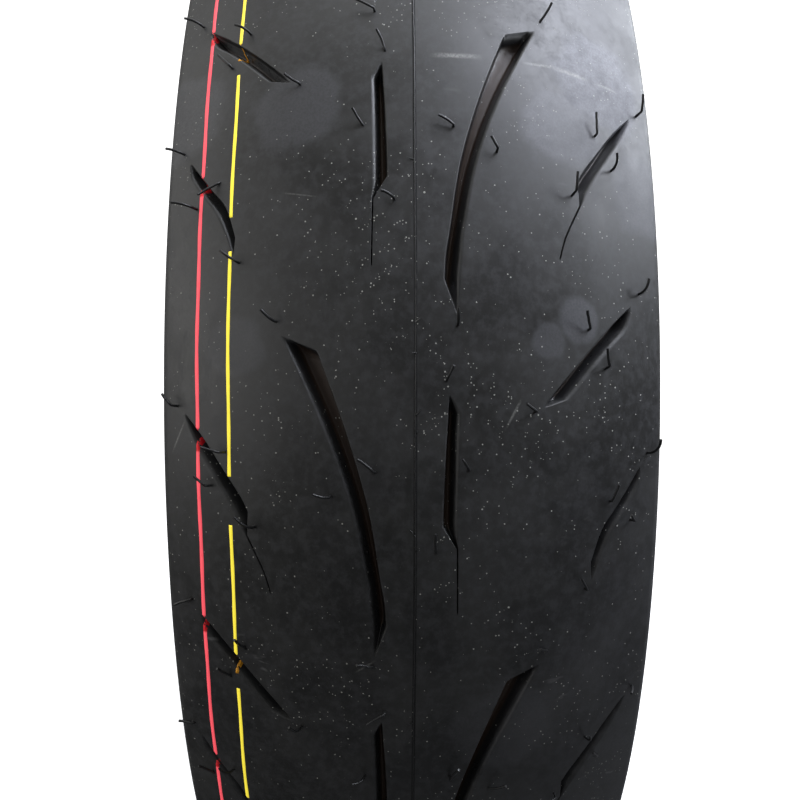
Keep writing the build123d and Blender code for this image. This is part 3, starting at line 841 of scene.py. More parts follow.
# %% Paint
def paint(name, colour, worn, in_groove_colour, glow):
    """Marking paint: thick and flat, thinner in places, and a deeper colour down in a groove. On the land
    it also glows, a painted light that makes it brighter than the lamps do.
    """
    material, tree, shader, place = start_material(name)
    skin = group_node(grain_group, place, Scale=1400.0)
    thin = remap(noise(place, 260.0, 4.0), 0.55, 0.75, 0.0, 0.6)
    deep = stored(tree, "deep")
    painted = mix_colours(deep, mix_colours(thin, colour, worn), in_groove_colour)
    feed(painted, shader.inputs["Base Color"])
    feed(remap(skin.outputs["Tone"], 0, 1, 0.5, 0.68), shader.inputs["Roughness"])
    # painted light: the paint glows on the land, and the glow is off down in a groove
    feed(mix_colours(deep, colour, (0.0, 0.0, 0.0)), shader.inputs["Emission Color"])
    shader.inputs["Emission Strength"].default_value = glow
    add_bump(shader, skin.outputs["Height"], 0.5, 0.05)
    return material


red_paint = paint("red_paint", (0.97, 0.10, 0.13), (0.80, 0.04, 0.06), (0.90, 0.008, 0.02), 0.58)
yellow_paint = paint("yellow_paint", (1.0, 0.82, 0.06), (0.90, 0.60, 0.03), (0.75, 0.33, 0.01), 0.58)
print("materials", [m.name for m in bpy.data.materials])

# %% Grow the tread and give the land its true normals
tread = grow(pitch_piece, ring_tree, {"Material": tread_rubber}, "tread_cap")
tread.data.shade_smooth()
depths = np.zeros(len(tread.data.vertices))
tread.data.attributes["depth"].data.foreach_get("value", depths)
places, made = np.zeros(len(depths) * 3), np.zeros(len(depths) * 3)
tread.data.vertices.foreach_get("co", places)
tread.data.vertex_normals.foreach_get("vector", made)
places, made = places.reshape(-1, 3) / MM, made.reshape(-1, 3)
radius, reach = np.hypot(places[:, 0], places[:, 2]), np.abs(places[:, 1])
lean = np.arctan2(reach, radius - CROWN_AT)
lean = np.where(lean > EDGE_LEAN, np.arctan2(reach - EDGE_Y, radius - EDGE_AT), lean)
lean += CREASE / CREASE_REACH * np.exp(-reach / CREASE_REACH) * (reach > 0.1)
flat = np.cos(lean) / radius
true = np.stack([flat * places[:, 0], np.sin(lean) * np.sign(places[:, 1]), flat * places[:, 2]], 1)
on_land = np.abs(depths) < 1e-4
tread.data.normals_split_custom_set_from_vertices(np.where(on_land[:, None], true, made).tolist())
print("tread triangles", sum(len(f.vertices) - 2 for f in tread.data.polygons),
      "open edges", open_edges(tread))

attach(tread, BODY)
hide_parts("tread_centre", "tread_shoulder_left", "tread_shoulder_right")

# %% [markdown]
# ## The painted lines
# The maker draws a red and a yellow line on the soft tread strip before the mould closes, so the
# paint goes down into every groove with the rubber. Each line is a thin closed band at a steady
# distance across the left half, a little wavy. A Geometry Nodes tree casts a ray from every
# point of it onto the tread and lays it there, which takes it over lips and along floors. The
# yellow one is torn: it is missing in the leaf-shaped grooves and for a few millimetres past a
# groove, and both are stretched thin where they go down a wall.

# %% Draw a band over the tread
RED_S, RED_W = 74.0, 1.5
YELLOW_S, YELLOW_W = 61.5, 1.3
ROW = 0.8
# a band's outline: (across, in widths, and height over the tread in mm)
BAND_SECTION = [(-0.5, -0.25), (-0.46, 0.05), (0, 0.09), (0.46, 0.05), (0.5, -0.25)]
SWAY, SMALL_SWAY = 0.22, 0.12
WALL_STEPS = (1.0, 2.0, 3.0, 4.0)   # looked at ahead, for the groove's lip
TEAR_STEPS = (1.0, 2.5, 4.0, 5.5)   # looked at ahead, where the yellow line is torn past a groove
LEFT = -1


def in_groove(s, t, names=tuple(GROOVES)):
    """Whether a place on the left half is in one of the named grooves."""
    t = lower(t - HALF_PITCH, s)
    return any(inside((s, t), loop) or inside((s, t + PITCH), loop)
               for name, loop in zip(GROOVES, loops) if name in names)


def wavy(place, t, first_wave):
    turn = t / TREAD_R
    second_wave = 3 * first_wave + 4
    return place + SWAY * math.sin(first_wave * turn + 1.0) + SMALL_SWAY * math.sin(second_wave * turn)


def band_mesh(name, place, width, first_wave, torn):
    """A closed band, with the direction out of the tread and the height over it at every point."""
    count = int(2 * math.pi * TREAD_R / ROW)
    rows = []
    for k in range(count):
        t = k / count * 2 * math.pi * TREAD_R
        middle = wavy(place, t, first_wave)
        groove = in_groove(middle, t)
        wide = width * (1 + 0.07 * math.sin(k * 0.31))
        if groove:
            # thin where it has just gone over the inner lip, wider on the floor
            wall_part = sum(not in_groove(middle, t + step) for step in WALL_STEPS) / len(WALL_STEPS)
            wide *= 1 - 0.6 * wall_part
        hidden = torn and (in_groove(middle, t, ("upper_leaf", "lower_leaf")) or not groove and any(
            in_groove(middle, t + step, ("upper_leaf", "slash")) for step in TEAR_STEPS))
        rows.append(None if hidden else (middle, t, wide, float(groove)))
    gap = next((k for k, row in enumerate(rows) if row is None), 0)
    rows = rows[gap:] + rows[:gap]
    verts, faces, outs, lifts, deeps = [], [], [], [], []
    sides, ends = len(BAND_SECTION), []
    for row in rows + [None]:
        if row is None:
            if len(ends) > 3:
                faces.append(tuple(reversed(range(ends[0], ends[0] + sides))))
                faces.append(tuple(range(ends[-1], ends[-1] + sides)))
            ends = []
            continue
        middle, t, wide, deep = row
        first = len(verts)
        for across, lift in BAND_SECTION:
            s = middle + across * wide
            verts.append(on_tread(s, t, 0, LEFT))
            outs.append(tread_normal(s, t, LEFT))
            lifts.append(lift * MM)
            deeps.append(deep)
        if ends:
            below = ends[-1]
            faces += [(below + j, below + (j + 1) % sides, first + (j + 1) % sides, first + j)
                      for j in range(sides)]
        ends.append(first)
    piece = make_piece(name, verts, faces)
    if not torn:
        # the red line has no gap, so its ends join
        with edited(piece) as bm:
            bm.verts.ensure_lookup_table()
            caps = [f for f in bm.faces if len(f.verts) == sides]
            bmesh.ops.delete(bm, geom=caps, context="FACES_ONLY")
            last = len(bm.verts) - sides
            for j in range(sides):
                k = (j + 1) % sides
                bm.faces.new([bm.verts[i] for i in (last + j, last + k, k, j)])
    layers = (("out", "FLOAT_VECTOR", [c for o in outs for c in o]), ("lift", "FLOAT", lifts),
              ("deep", "FLOAT", deeps))
    for key, kind, data in layers:
        layer = piece.data.attributes.new(key, kind, "POINT")
        layer.data.foreach_set("vector" if kind == "FLOAT_VECTOR" else "value", data)
    return piece

# %% A tree that lays it there
lay_tree, lay_in, lay_out = new_tree("Lay on the tread", {
    "Tread": ("NodeSocketObject", None), "Reach": ("NodeSocketFloat", 0.03),
    "Material": ("NodeSocketMaterial", None)})
outward = add_node(lay_tree, "GeometryNodeInputNamedAttribute",
                   {"data_type": "FLOAT_VECTOR", "Name": "out"}).outputs["Attribute"]
height = add_node(lay_tree, "GeometryNodeInputNamedAttribute",
                  {"data_type": "FLOAT", "Name": "lift"}).outputs["Attribute"]
position = add_node(lay_tree, "GeometryNodeInputPosition").outputs[0]
above = moved(position, outward, lay_in["Reach"])
inward = vector_maths("SCALE", outward, scale=-1.0)
surface = add_node(lay_tree, "GeometryNodeObjectInfo", Object=lay_in["Tread"])
cast = add_node(lay_tree, "GeometryNodeRaycast", {"Ray Length": 0.1},
                Target_Geometry=surface.outputs["Geometry"], Source_Position=above, Ray_Direction=inward)
lifted = moved(cast.outputs["Hit Position"], outward, height)
laid = add_node(lay_tree, "GeometryNodeSetPosition", Geometry=lay_in["Geometry"],
                Selection=cast.outputs["Is Hit"], Position=lifted)
finish_tree(lay_tree, laid.outputs[0], lay_in, lay_out)


def lay_band(name, place, width, first_wave, torn, material):
    band = band_mesh(name + "_flat", place, width, first_wave, torn)
    band = grow(band, lay_tree, {"Tread": tread, "Material": material}, name)
    for key in ("out", "lift"):
        band.data.attributes.remove(band.data.attributes[key])
    face_outwards(band)
    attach(band, BODY)
    print(name, "faces", len(band.data.polygons))
    return band


red_line = lay_band("red_line", RED_S, RED_W, 13, False, red_paint)
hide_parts("red_mark_line")
yellow_line = lay_band("yellow_line", YELLOW_S, YELLOW_W, 11, True, yellow_paint)
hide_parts("yellow_mark_line")

# %% [markdown]
# ## Vent hairs
# Air leaves the mould through fine holes, and rubber follows it and stays on the new tyre as
# hairs. They stand beside the grooves, two or three to each one, and storage has bent every one
# differently: some have a sharp knee, some hang over in an arch, and a few only lean. Each is
# drawn here as a path of a few points, and a Geometry Nodes tree sweeps them all into thin,
# slightly tapering threads. The draws are seeded, so the same hairs come back every time.

# %% Hair paths
HAIR_PLACES = {
    "upright": [(44.5, 131), (12.5, 83.5), (26.5, 75.5), (13, 18), (83, 103), (63, 88), (69, 76),
                (52.5, 63.5)],
    "half_pitch": [(9.5, 112), (16.5, 84), (6.5, 58), (79, 143), (57.5, 129), (64, 116), (38, 102),
                   (83, 86), (66.5, 70.5), (76, 62.5), (58, 40.5)],
}
HAIR_D = 0.92
HAIR_ROOT = 0.8             # how far a hair starts under the surface
HAIR_STEPS = 6
HEADINGS = {1: (68, 26), -1: (28, 26)}      # mean and spread on each side, in degrees
KNEED, KNEED_OR_ARCHED = 0.5, 0.85          # shares of the hairs


def hair_path(draw, s, t, side):
    """The points of one hair, from its root up."""
    out = tread_normal(s, t, side)
    turn = t / TREAD_R
    up = Vector((-math.sin(turn), 0, math.cos(turn)))
    heading = math.radians(draw.gauss(*HEADINGS[side]))
    lean_way = out.cross(up) * math.cos(heading) + up * math.sin(heading)
    kind = draw.random()
    if kind < KNEED:
        knee, first, last = draw.choice((1, 1, 2)), draw.uniform(5, 20), draw.uniform(62, 84)
        leans = [first] * knee + [last + draw.uniform(-8, 6) for _ in range(HAIR_STEPS - knee)]
    elif kind < KNEED_OR_ARCHED:
        top = draw.uniform(62, 96)
        leans = [top * (k + 0.6) / 5.6 for k in range(HAIR_STEPS)]
    else:
        leans = [draw.uniform(48, 66) for _ in range(HAIR_STEPS)]
    length = draw.uniform(6.2, 9.2)
    side_step = lean_way.cross(out) * draw.uniform(-0.35, 0.35)
    point = on_tread(s, t, 0, side)
    path = [point - out * HAIR_ROOT * MM, point]
    for k, lean in enumerate(leans):
        lean = math.radians(lean)
        step = out * math.cos(lean) + lean_way * math.sin(lean) + side_step * (k / 5)
        path.append(path[-1] + step.normalized() * length / HAIR_STEPS * MM)
    return path


draw = random.Random(23)
verts, edges = [], []
for pitch in range(PITCHES):
    for side in (1, -1):
        for group, spots in HAIR_PLACES.items():
            for s, t in spots:
                t = t + pitch * PITCH - (HALF_PITCH if group == "half_pitch" else 0)
                t += HALF_PITCH if side < 0 else 0
                path = hair_path(draw, s, t, side)
                edges += [(len(verts) + k, len(verts) + k + 1) for k in range(len(path) - 1)]
                verts += path

# %% Sweep the hairs
sweep_tree, sweep_in, sweep_out = new_tree("Threads along paths", {
    "Radius": ("NodeSocketFloat", HAIR_D / 2 * MM), "Sides": ("NodeSocketInt", 6),
    "Tip": ("NodeSocketFloat", 0.75), "Material": ("NodeSocketMaterial", None)})
curves = add_node(sweep_tree, "GeometryNodeMeshToCurve", Mesh=sweep_in["Geometry"])
along = add_node(sweep_tree, "GeometryNodeSplineParameter")
taper = remap(along.outputs["Factor"], 0.0, 1.0, 1.0, sweep_in["Tip"], False)
curves = add_node(sweep_tree, "GeometryNodeSetCurveRadius", Curve=curves, Radius=taper)
ring = add_node(sweep_tree, "GeometryNodeCurvePrimitiveCircle", Resolution=sweep_in["Sides"],
                Radius=sweep_in["Radius"])
threads = add_node(sweep_tree, "GeometryNodeCurveToMesh", {"Fill Caps": True},
                   Curve=curves, Profile_Curve=ring)
finish_tree(sweep_tree, threads.outputs[0], sweep_in, sweep_out)

hair_lines = make_piece("hair_lines", verts, edges=edges, smooth=False)
hairs = grow(hair_lines, sweep_tree, {"Material": hair_rubber}, "vent_hairs")
face_outwards(hairs)
hairs.data.shade_smooth()
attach(hairs, BODY)
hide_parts("vent_hairs_left", "vent_hairs_right")
print("hairs", len(verts) // (HAIR_STEPS + 2), "faces", len(hairs.data.polygons))

# %% [markdown]
# ## The parting line
# Where the two halves of the mould meet, a thin fin of rubber runs round the middle, torn away
# in places, with crumbs of flash left on it. The fin is a thread swept along a path that
# wanders, sinks and surfaces, and the crumbs are small cones scattered along the same path.

# %% The fin's path
FIN_STEP = 1.5
FIN_SUNK, FIN_WAVE = 0.04, 0.10
CRUMBS, CRUMBS_LEFT = 420, 0.35     # places for crumbs, and the share of them that has one
CRUMB_SHIFT, CRUMB_TOP, CRUMB_FOOT = 0.0003, 0.00012, 0.0004
FULL_TURN = 6.28
fin_points = int(2 * math.pi * TREAD_R / FIN_STEP)
draw = random.Random(41)
verts = []
for k in range(fin_points):
    turn = 2 * math.pi * k / fin_points
    sunk = FIN_SUNK + FIN_WAVE * math.sin(17 * turn) * math.sin(5 * turn + 1) + draw.uniform(-0.04, 0.06)
    point = on_tread(0.0, turn * TREAD_R, sunk)
    point.y = (FIN_WAVE * math.sin(23 * turn) + draw.uniform(-0.06, 0.06)) * MM
    verts.append(point)
round_it = [(k, (k + 1) % fin_points) for k in range(fin_points)]
fin_path = make_piece("fin_path", verts, edges=round_it, smooth=False)

# %% Sweep the fin and scatter the crumbs
def random_vector(tree, given, low, high):
    """A vector between low and high, drawn anew for every point."""
    node = add_node(tree, "FunctionNodeRandomValue", {"data_type": "FLOAT_VECTOR"}, Seed=given["Seed"])
    for value, socket in zip((low, high), node.inputs):
        feed(value, socket)
    return node.outputs[0]


fin_tree, fin_in, fin_out = new_tree("Fin with crumbs", {
    "Radius": ("NodeSocketFloat", 0.22 * MM), "Crumbs": ("NodeSocketInt", CRUMBS),
    "Crumb Size": ("NodeSocketFloat", 1.0 * MM), "Seed": ("NodeSocketInt", 3),
    "Material": ("NodeSocketMaterial", None)})
fin = add_node(fin_tree, "GeometryNodeMeshToCurve", Mesh=fin_in["Geometry"])
profile = add_node(fin_tree, "GeometryNodeCurvePrimitiveCircle", {"Resolution": 5},
                   Radius=fin_in["Radius"])
fin_mesh = add_node(fin_tree, "GeometryNodeCurveToMesh", Curve=fin, Profile_Curve=profile)
spots = add_node(fin_tree, "GeometryNodeCurveToPoints", {"mode": "COUNT"}, Curve=fin,
                 Count=fin_in["Crumbs"])
shift = random_vector(fin_tree, fin_in, (0, -CRUMB_SHIFT, 0), (0, CRUMB_SHIFT, 0))
left_on = add_node(fin_tree, "FunctionNodeRandomValue",
                   {"data_type": "BOOLEAN", "Probability": CRUMBS_LEFT}, Seed=fin_in["Seed"])
spots = add_node(fin_tree, "GeometryNodeSetPosition", Geometry=spots, Offset=shift)
crumb = add_node(fin_tree, "GeometryNodeMeshCone",
                 {"Vertices": 5, "Radius Top": CRUMB_TOP, "Radius Bottom": CRUMB_FOOT},
                 Depth=fin_in["Crumb Size"])
spin = random_vector(fin_tree, fin_in, (0, 0, 0), (FULL_TURN, FULL_TURN, FULL_TURN))
stretch = random_vector(fin_tree, fin_in, (0.4, 0.4, 0.7), (1.0, 1.0, 2.6))
crumbs = add_node(fin_tree, "GeometryNodeInstanceOnPoints", Points=spots,
                  Selection=left_on.outputs[3], Instance=crumb,
                  Rotation=spin, Scale=stretch)
both = add_node(fin_tree, "GeometryNodeJoinGeometry", Geometry=fin_mesh)
feed(crumbs.outputs[0], both.inputs[0])
finish_tree(fin_tree, both.outputs[0], fin_in, fin_out)
flash = grow(fin_path, fin_tree, {"Material": hair_rubber}, "parting_flash")
face_outwards(flash)
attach(flash, BODY)
print("flash faces", len(flash.data.polygons))

# %% [markdown]
# ## Sidewalls, rim strips and inner liner
# Below the tread the tyre is all rings, so each piece is one closed outline turned about the
# axle in small steps. The outlines are made of arcs, as a mould's drawing is. The sidewall is
# kept plain, with a protector rib over the rim, a fine line that shows whether the tyre sits
# true on its rim, and two raised rings with a band of short ribs between them. Each ring also
# gets a UV map, once round and once along its outline.

# %% The section's arcs
SEAT_R, RIM_Y, FLANGE_R, FLANGE_UP = 218.3, 57.15, 9.2, 11.7
TOE_Y, TOE_R, TOE_UP = 44.5, 16.0, 9.7
WALL, CASING_R, LINER, PLY, BOND, BEAD_COVER = 6.2, 14.0, 0.8, 0.7, 0.05, 1.3
TREAD_AT, BELT_AT = 4.85, 2.35      # how far both lie outside the casing's inner face


def s_curve(top_y, top_r, foot_y, foot_r, hollow):
    """Radius and turn of the arc that leaves the top upright and meets the hollow arc."""
    across, down = top_y - foot_y, top_r - foot_r
    both_r = (across**2 + down**2) / (2 * across)
    return both_r - hollow, math.degrees(math.asin(down / both_r))


def arc(centre, radius, start, end, step=1.6):
    """Points on an arc, between two angles from straight out along the axle."""
    count = max(2, math.ceil(abs(math.radians(end - start)) * radius / step))
    turns = np.radians(np.linspace(start, end, count + 1))
    return [(centre[0] + radius * math.cos(a), centre[1] + radius * math.sin(a)) for a in turns]


def height_angle(centre, radius, r):
    return math.degrees(math.asin((r - centre[1]) / radius))


FLANGE_AT = (RIM_Y + FLANGE_R, SEAT_R + FLANGE_UP)
TOE_AT = (TOE_Y + TOE_R, SEAT_R + TOE_UP)
SIDE_R, SIDE_TURN = s_curve(HALF_WIDTH, EDGE_AT, RIM_Y, FLANGE_AT[1], FLANGE_R)
SIDE_AT = (HALF_WIDTH - SIDE_R, EDGE_AT)
INNER_R, INNER_TURN = s_curve(HALF_WIDTH - WALL, EDGE_AT, TOE_Y, TOE_AT[1], TOE_R)
INNER_AT = (HALF_WIDTH - WALL - INNER_R, EDGE_AT)
CHAMBER_R = CROWN_R - TREAD_THICK - TREAD_AT
one_r, two_r = CHAMBER_R - CASING_R, INNER_R - CASING_R
apart = math.hypot(INNER_AT[0], INNER_AT[1] - CROWN_AT)
along = (one_r**2 - two_r**2 + apart**2) / (2 * apart)
aside = math.sqrt(one_r**2 - along**2)
dy, dr = INNER_AT[0] / apart, (INNER_AT[1] - CROWN_AT) / apart
CASING_AT = (along * dy + aside * dr, CROWN_AT + along * dr - aside * dy)
if CASING_AT[0] < INNER_AT[0]:
    CASING_AT = (along * dy - aside * dr, CROWN_AT + along * dr + aside * dy)
CROWN_END = math.degrees(math.atan2(CASING_AT[1] - CROWN_AT, CASING_AT[0]))
SIDE_START = math.degrees(math.atan2(CASING_AT[1] - INNER_AT[1], CASING_AT[0] - INNER_AT[0]))
print("side radius", round(SIDE_R, 2), "casing shoulder at", [round(c, 2) for c in CASING_AT])


def lathe(name, outline_points, step_deg, side, material, slot, *nodes):
    """A closed outline of (y, r) turned about the axle, mirrored for the left side."""
    count = round(360 / step_deg)
    width = len(outline_points)
    verts = [on_wheel(side * y, r, 2 * math.pi * k / count)
             for k in range(count) for y, r in outline_points]
    faces, uvs = [], []
    lengths = [0.0]
    for j in range(width):
        lengths.append(lengths[-1] + math.dist(outline_points[j], outline_points[(j + 1) % width]))
    for k in range(count):
        for j in range(width):
            j1, k1 = (j + 1) % width, (k + 1) % count
            faces.append((k * width + j, k * width + j1, k1 * width + j1, k1 * width + j))
            uvs += [(k / count, lengths[j] * MM), (k / count, lengths[j + 1] * MM),
                    ((k + 1) / count, lengths[j + 1] * MM), ((k + 1) / count, lengths[j] * MM)]
    piece = make_piece(name, verts, faces)
    layer = piece.data.uv_layers.new(name="around")
    layer.data.foreach_set("uv", [c for uv in uvs for c in uv])
    face_outwards(piece)
    piece.data.set_sharp_from_angle(angle=math.radians(38))
    piece.data.materials.append(material)
    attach(piece, BODY)
    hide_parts(*nodes)
    print(name, "faces", len(piece.data.polygons))
    return piece

# %% Sidewalls
# Raised rings on the outer face: (radius from the axle, half width, height), in mm
RAISED = [(241.0, 0.5, 0.35), (246.5, 2.2, 1.3), (255.0, 0.6, 0.35), (273.5, 0.6, 0.35),
          (283.2, 0.45, -0.4)]
RIB_FROM, RIB_TO = 258.0, 270.5
RING_TOP = 0.55             # the flat share of a ring's half width


def raised(r):
    """How far the outer face stands out at radius r."""
    out = 0.0
    for middle, half, height in RAISED:
        away = abs(r - middle) / half
        if away < 1:
            out += height * (1 if away < RING_TOP else (1 - away) / (1 - RING_TOP))
    return out


def outer_wall():
    """The sidewall's outer face from the tread's edge down, with its raised rings."""
    top = math.degrees(-2 * BOND / SIDE_R)
    radii = [r for _, r in arc(SIDE_AT, SIDE_R, top, -SIDE_TURN)]
    for middle, half, _ in RAISED:
        radii += [middle + half * share for share in (-1, -RING_TOP, 0, RING_TOP, 1)]
    points = []
    for r in sorted(set(radii), reverse=True):
        angle = math.radians(height_angle(SIDE_AT, SIDE_R, r))
        reach = SIDE_R + raised(r)
        points.append((SIDE_AT[0] + reach * math.cos(angle), SIDE_AT[1] + reach * math.sin(angle)))
    return points


# heights over the bead seat: the rim strip, and where the two plies' turned-up ends stop
STRIP_UP, LOW_END_UP, HIGH_END_UP = 17.0, 30.0, 38.7
BELT_END_DEG = 25.0         # where the belt ends, over the level of the casing's shoulder
under = BEAD_COVER + LINER
strip_top = 180 - height_angle((0, 0), FLANGE_R, STRIP_UP - FLANGE_UP)
foot = strip_top - math.degrees(BOND / FLANGE_R)
splice = BELT_END_DEG - math.degrees(BOND / CASING_R)
low_r, high_r = SEAT_R + LOW_END_UP + BOND, SEAT_R + HIGH_END_UP + BOND
ply_r = SIDE_R - under - PLY - BOND
wall_outline = outer_wall() + arc(FLANGE_AT, FLANGE_R, 180 - SIDE_TURN, foot)[1:]
wall_outline += arc(FLANGE_AT, FLANGE_R + under, foot, 180 - SIDE_TURN)
wall_outline += arc(SIDE_AT, SIDE_R - under, -SIDE_TURN, height_angle(SIDE_AT, SIDE_R - under, low_r))[1:]
wall_outline += arc(SIDE_AT, ply_r, height_angle(SIDE_AT, ply_r, low_r),
                    height_angle(SIDE_AT, ply_r, high_r))
wall_outline += arc(INNER_AT, INNER_R + BELT_AT,
                    height_angle(INNER_AT, INNER_R + BELT_AT, high_r), SIDE_START)
wall_outline += arc(CASING_AT, CASING_R + BELT_AT, SIDE_START, splice)[1:]
wall_outline += arc(CASING_AT, CASING_R + TREAD_AT, splice, splice - 0.01)[:1]
for label, side in (("right", 1), ("left", -1)):
    lathe("sidewall_" + label + "_ring", wall_outline, 1.25, side, side_rubber, "sidewall_rubber",
          "sidewall_" + label)

# %% Short ribs round both sidewalls
RIBS = 180
RIB_LEAN = 0.004            # radians for each of the rib's stations
verts, faces = [], []
stations = np.linspace(RIB_TO, RIB_FROM, 7)
for k, r in enumerate(stations):
    angle = math.radians(height_angle(SIDE_AT, SIDE_R, r))
    high = 0.5 if 0 < k < 6 else 0.1
    for turn, out in ((-0.75, -0.3), (-0.25, high), (0.25, high), (0.75, -0.3)):
        y = SIDE_AT[0] + (SIDE_R + out) * math.cos(angle)
        reach = SIDE_AT[1] + (SIDE_R + out) * math.sin(angle)
        verts.append(on_wheel(y, reach, turn / r + RIB_LEAN * (k - 3)))
for k in range(6):
    faces += [(4 * k + j, 4 * k + (j + 1) % 4, 4 * k + 4 + (j + 1) % 4, 4 * k + 4 + j) for j in range(4)]
faces += [(3, 2, 1, 0), (24, 25, 26, 27)]
rib = make_piece("side_rib", verts, faces)
face_outwards(rib)
ribs = grow(rib, ring_tree, {"Pitches": RIBS, "Half Turn": math.pi / RIBS, "Merge Distance": 0.0,
                             "Material": side_rubber}, "sidewall_ribs")
ribs.data.set_sharp_from_angle(angle=math.radians(30))
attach(ribs, BODY)
print("ribs", len(ribs.data.polygons))

# %% Rim strips
wire_r = 3.325              # half of the bundle of bead wires
wire_at = (TOE_Y + BELT_AT + wire_r, SEAT_R + 1.5 + BOND + wire_r + BELT_AT - LINER - BOND)
HEEL_R, TOE_TOP = 5.0, SEAT_R + 6.0
strip_outline = [(TOE_Y + LINER, TOE_TOP)] + arc(wire_at, wire_at[0] - TOE_Y - LINER, 180, 360)
strip_outline += arc(FLANGE_AT, FLANGE_R + under, 180, strip_top)
strip_outline += arc(FLANGE_AT, FLANGE_R, strip_top, 180)
strip_outline += arc((RIM_Y - HEEL_R, SEAT_R + HEEL_R), HEEL_R, 360, 270, 0.8)
strip_outline += [(RIM_Y - 8, SEAT_R), (TOE_Y + 1.0, SEAT_R), (TOE_Y + 0.3, SEAT_R + 0.3),
                  (TOE_Y, SEAT_R + 1.0), (TOE_Y, TOE_TOP)]
for label, side in (("right", 1), ("left", -1)):
    lathe("rim_strip_" + label + "_ring", strip_outline, 1.25, side, strip_rubber, "rim_strip_rubber",
          "rim_strip_" + label)

# %% Inner liner
liner_end = SEAT_R + 6.0 + BOND


def inside_face(depth):
    points = arc((0, CROWN_AT), CHAMBER_R + depth, 90, CROWN_END, 3)
    points += arc(CASING_AT, CASING_R + depth, CROWN_END, SIDE_START)[1:]
    points += arc(INNER_AT, INNER_R + depth, SIDE_START, -INNER_TURN, 3)[1:]
    points += arc(TOE_AT, TOE_R - depth, 180 - INNER_TURN, 180)[1:]
    return points + [(TOE_Y + depth, liner_end)]


half = inside_face(0)
half_out = inside_face(LINER)
liner_outline = [(-y, r) for y, r in reversed(half)] + half[1:]
liner_outline += list(reversed(half_out)) + [(-y, r) for y, r in half_out[1:]]
lathe("inner_liner_ring", liner_outline, 1.5, 1, liner_rubber, "liner_rubber", "inner_liner")

# %% [markdown]
# ## What lies inside
# The plies, belt, bead wires, wraps, fillers and base keep the shape that they were given, and
# get a finish each: textile cords from bead to bead, one steel cord wound round and round under
# the tread, bronze-coated wire in the beads, a woven wrap, and two plain compounds.

# %% Finishes of the inner pieces
INNER_FINISH = {
    "carcass_ply_inner": ply_cord, "carcass_ply_outer": ply_cord, "zero_degree_belt": belt_cord,
    "tread_base": base_rubber,
}
for label in ("left", "right"):
    INNER_FINISH["belt_edge_strip_" + label] = base_rubber
    INNER_FINISH["bead_wires_" + label] = bead_steel
    INNER_FINISH["bead_wrap_" + label] = bead_textile
    INNER_FINISH["bead_filler_" + label] = filler_rubber
for name, material in INNER_FINISH.items():
    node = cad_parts[name]
    if not node.material_slots:
        node.data.materials.append(material)
    for slot in node.material_slots:
        slot.material = material
print("finished inside", len(INNER_FINISH))

# %% [markdown]
# ## Floor, light and camera
# A pale floor that fades into a white surround, two cool softboxes high on the right with a small
# key below them and a rim light behind, two weak ones on the left, and one overhead. Rubber this
# dark shows mostly what it mirrors, so the lights stand high and to the sides, and the front
# stays dim.

# %% Floor
FLOOR_Z = -TREAD_R * MM - 0.003
FLOOR_HALF = 9

corners = [(x * FLOOR_HALF, y * FLOOR_HALF, FLOOR_Z) for x, y in ((-1, -1), (1, -1), (1, 1), (-1, 1))]
floor = make_piece("floor", corners, [(0, 1, 2, 3)], smooth=False)
paper, tree, shader, place = start_material("pale_floor")
shader.inputs["Roughness"].default_value = 0.9
far = remap(vector_maths("LENGTH", place), 0.45, 1.3)
seen = tree.nodes.new("ShaderNodeLightPath").outputs["Is Camera Ray"]
glow = mix_colours(far, (0.66, 0.66, 0.66), (1.1, 1.1, 1.1))
feed(mix_colours(seen, (0, 0, 0), glow), shader.inputs["Emission Color"])
feed(mix_colours(seen, (0.06, 0.06, 0.06), (0.62, 0.62, 0.62)), shader.inputs["Base Color"])
shader.inputs["Emission Strength"].default_value = 1.0
floor.data.materials.append(paper)
print("floor at", round(FLOOR_Z, 4))

# %% Lights
def softbox(name, place, aim, size, power, colour):
    light = bpy.data.lights.new(name, "AREA")
    light.shape = "RECTANGLE"
    light.size, light.size_y = size
    light.energy = power
    light.color = colour
    lamp = put_in_scene(name, light)
    lamp.location = place
    lamp.rotation_euler = (Vector(aim) - Vector(place)).to_track_quat("-Z", "Y").to_euler()


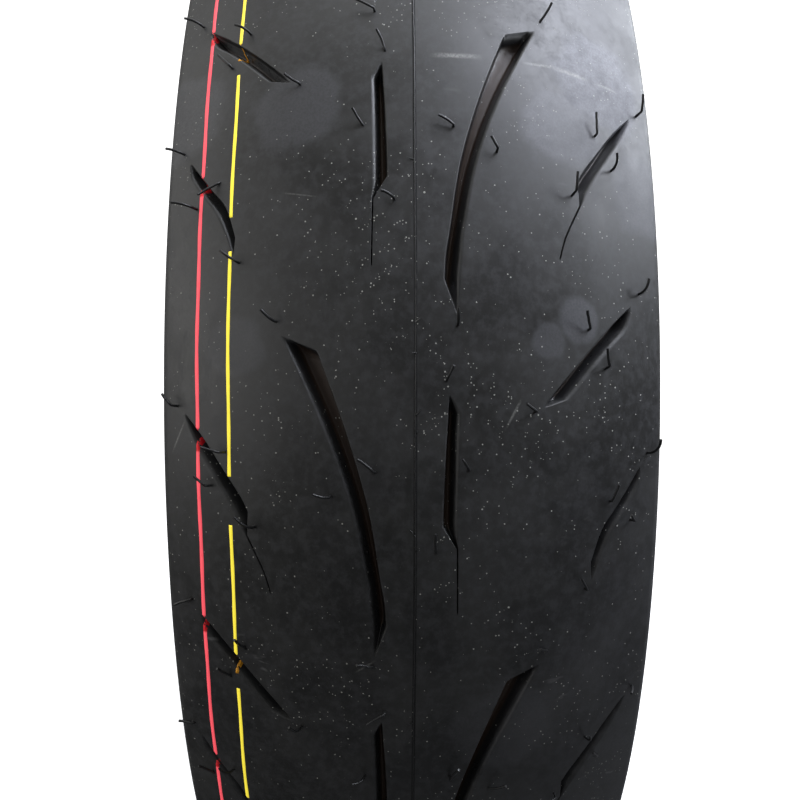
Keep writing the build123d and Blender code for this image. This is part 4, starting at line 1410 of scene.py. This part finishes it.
# name: (place, aim, size, watts, colour), in metres
LIGHTS = {
    "softbox_right": ((0.6, 0.9, 1.5), (0.2, 0.05, 0), (0.9, 0.9), 32, (0.84, 0.88, 1.0)),
    "softbox_side": ((0.15, 1.25, 1.15), (0.1, 0.05, 0), (1.2, 1.2), 19, (0.84, 0.88, 1.0)),
    "softbox_left": ((0.3, -1.3, 0.9), (0.1, 0, 0), (1.0, 1.2), 4.8, (1.0, 0.99, 0.96)),
    "softbox_low": ((0.9, -1.6, 0.1), (0.2, 0, 0), (1.4, 0.8), 7.5, (1.0, 0.99, 0.97)),
    "softbox_top": ((0.25, 0, 1.9), (0.1, 0, 0), (1.6, 2.2), 17, (0.97, 0.99, 1.0)),
    "rim_light": ((-0.35, 1.05, 0.8), (0.1, 0.05, 0.1), (0.6, 0.6), 6.5, (0.88, 0.93, 1.0)),
    "key": ((0.55, 1.35, 0.8), (0.25, 0, 0.05), (0.28, 0.28), 8.5, (0.88, 0.93, 1.0)),
}
for name, setting in LIGHTS.items():
    softbox(name, *setting)

# The surround: the camera sees white, and the rubber mirrors a dimmer one
WHITE_SEEN, FRONT_DIM, BEHIND_DIM = 1.6, 0.34, 0.30
world = bpy.data.worlds.new("studio")
world.use_nodes = True
bpy.context.scene.world = world
sky = world.node_tree
seen = sky.nodes.new("ShaderNodeLightPath").outputs["Is Camera Ray"]
shade = sky.nodes["Background"]
shade.inputs["Color"].default_value = (1, 1, 1, 1)
facing = sky.nodes.new("ShaderNodeSeparateXYZ")
feed(sky.nodes.new("ShaderNodeTexCoord").outputs["Generated"], facing.inputs[0])
mirrored = remap(facing.outputs["X"], 0.15, -0.6, FRONT_DIM, BEHIND_DIM)
feed(remap(seen, 0, 1, mirrored, WHITE_SEEN, False), shade.inputs["Strength"])
print("lights", list(LIGHTS))

# %% Camera
CAMERA_X, CAMERA_Y, AIM = 0.5929, -0.0081, 0.78
LENS, SENSOR = 40.37, 36
camera_data = bpy.data.cameras.new("camera")
camera_data.lens = LENS
camera_data.sensor_width = SENSOR
camera_data.shift_x = -0.0017
camera_data.shift_y = -0.0203
camera_data.clip_start = 0.01
camera = put_in_scene("camera", camera_data)
camera.location = (CAMERA_X, CAMERA_Y, 0)
camera.rotation_euler = (math.pi / 2, 0, math.pi / 2 - math.radians(AIM))
bpy.context.scene.camera = camera
bpy.context.scene.view_settings.view_transform = "Standard"
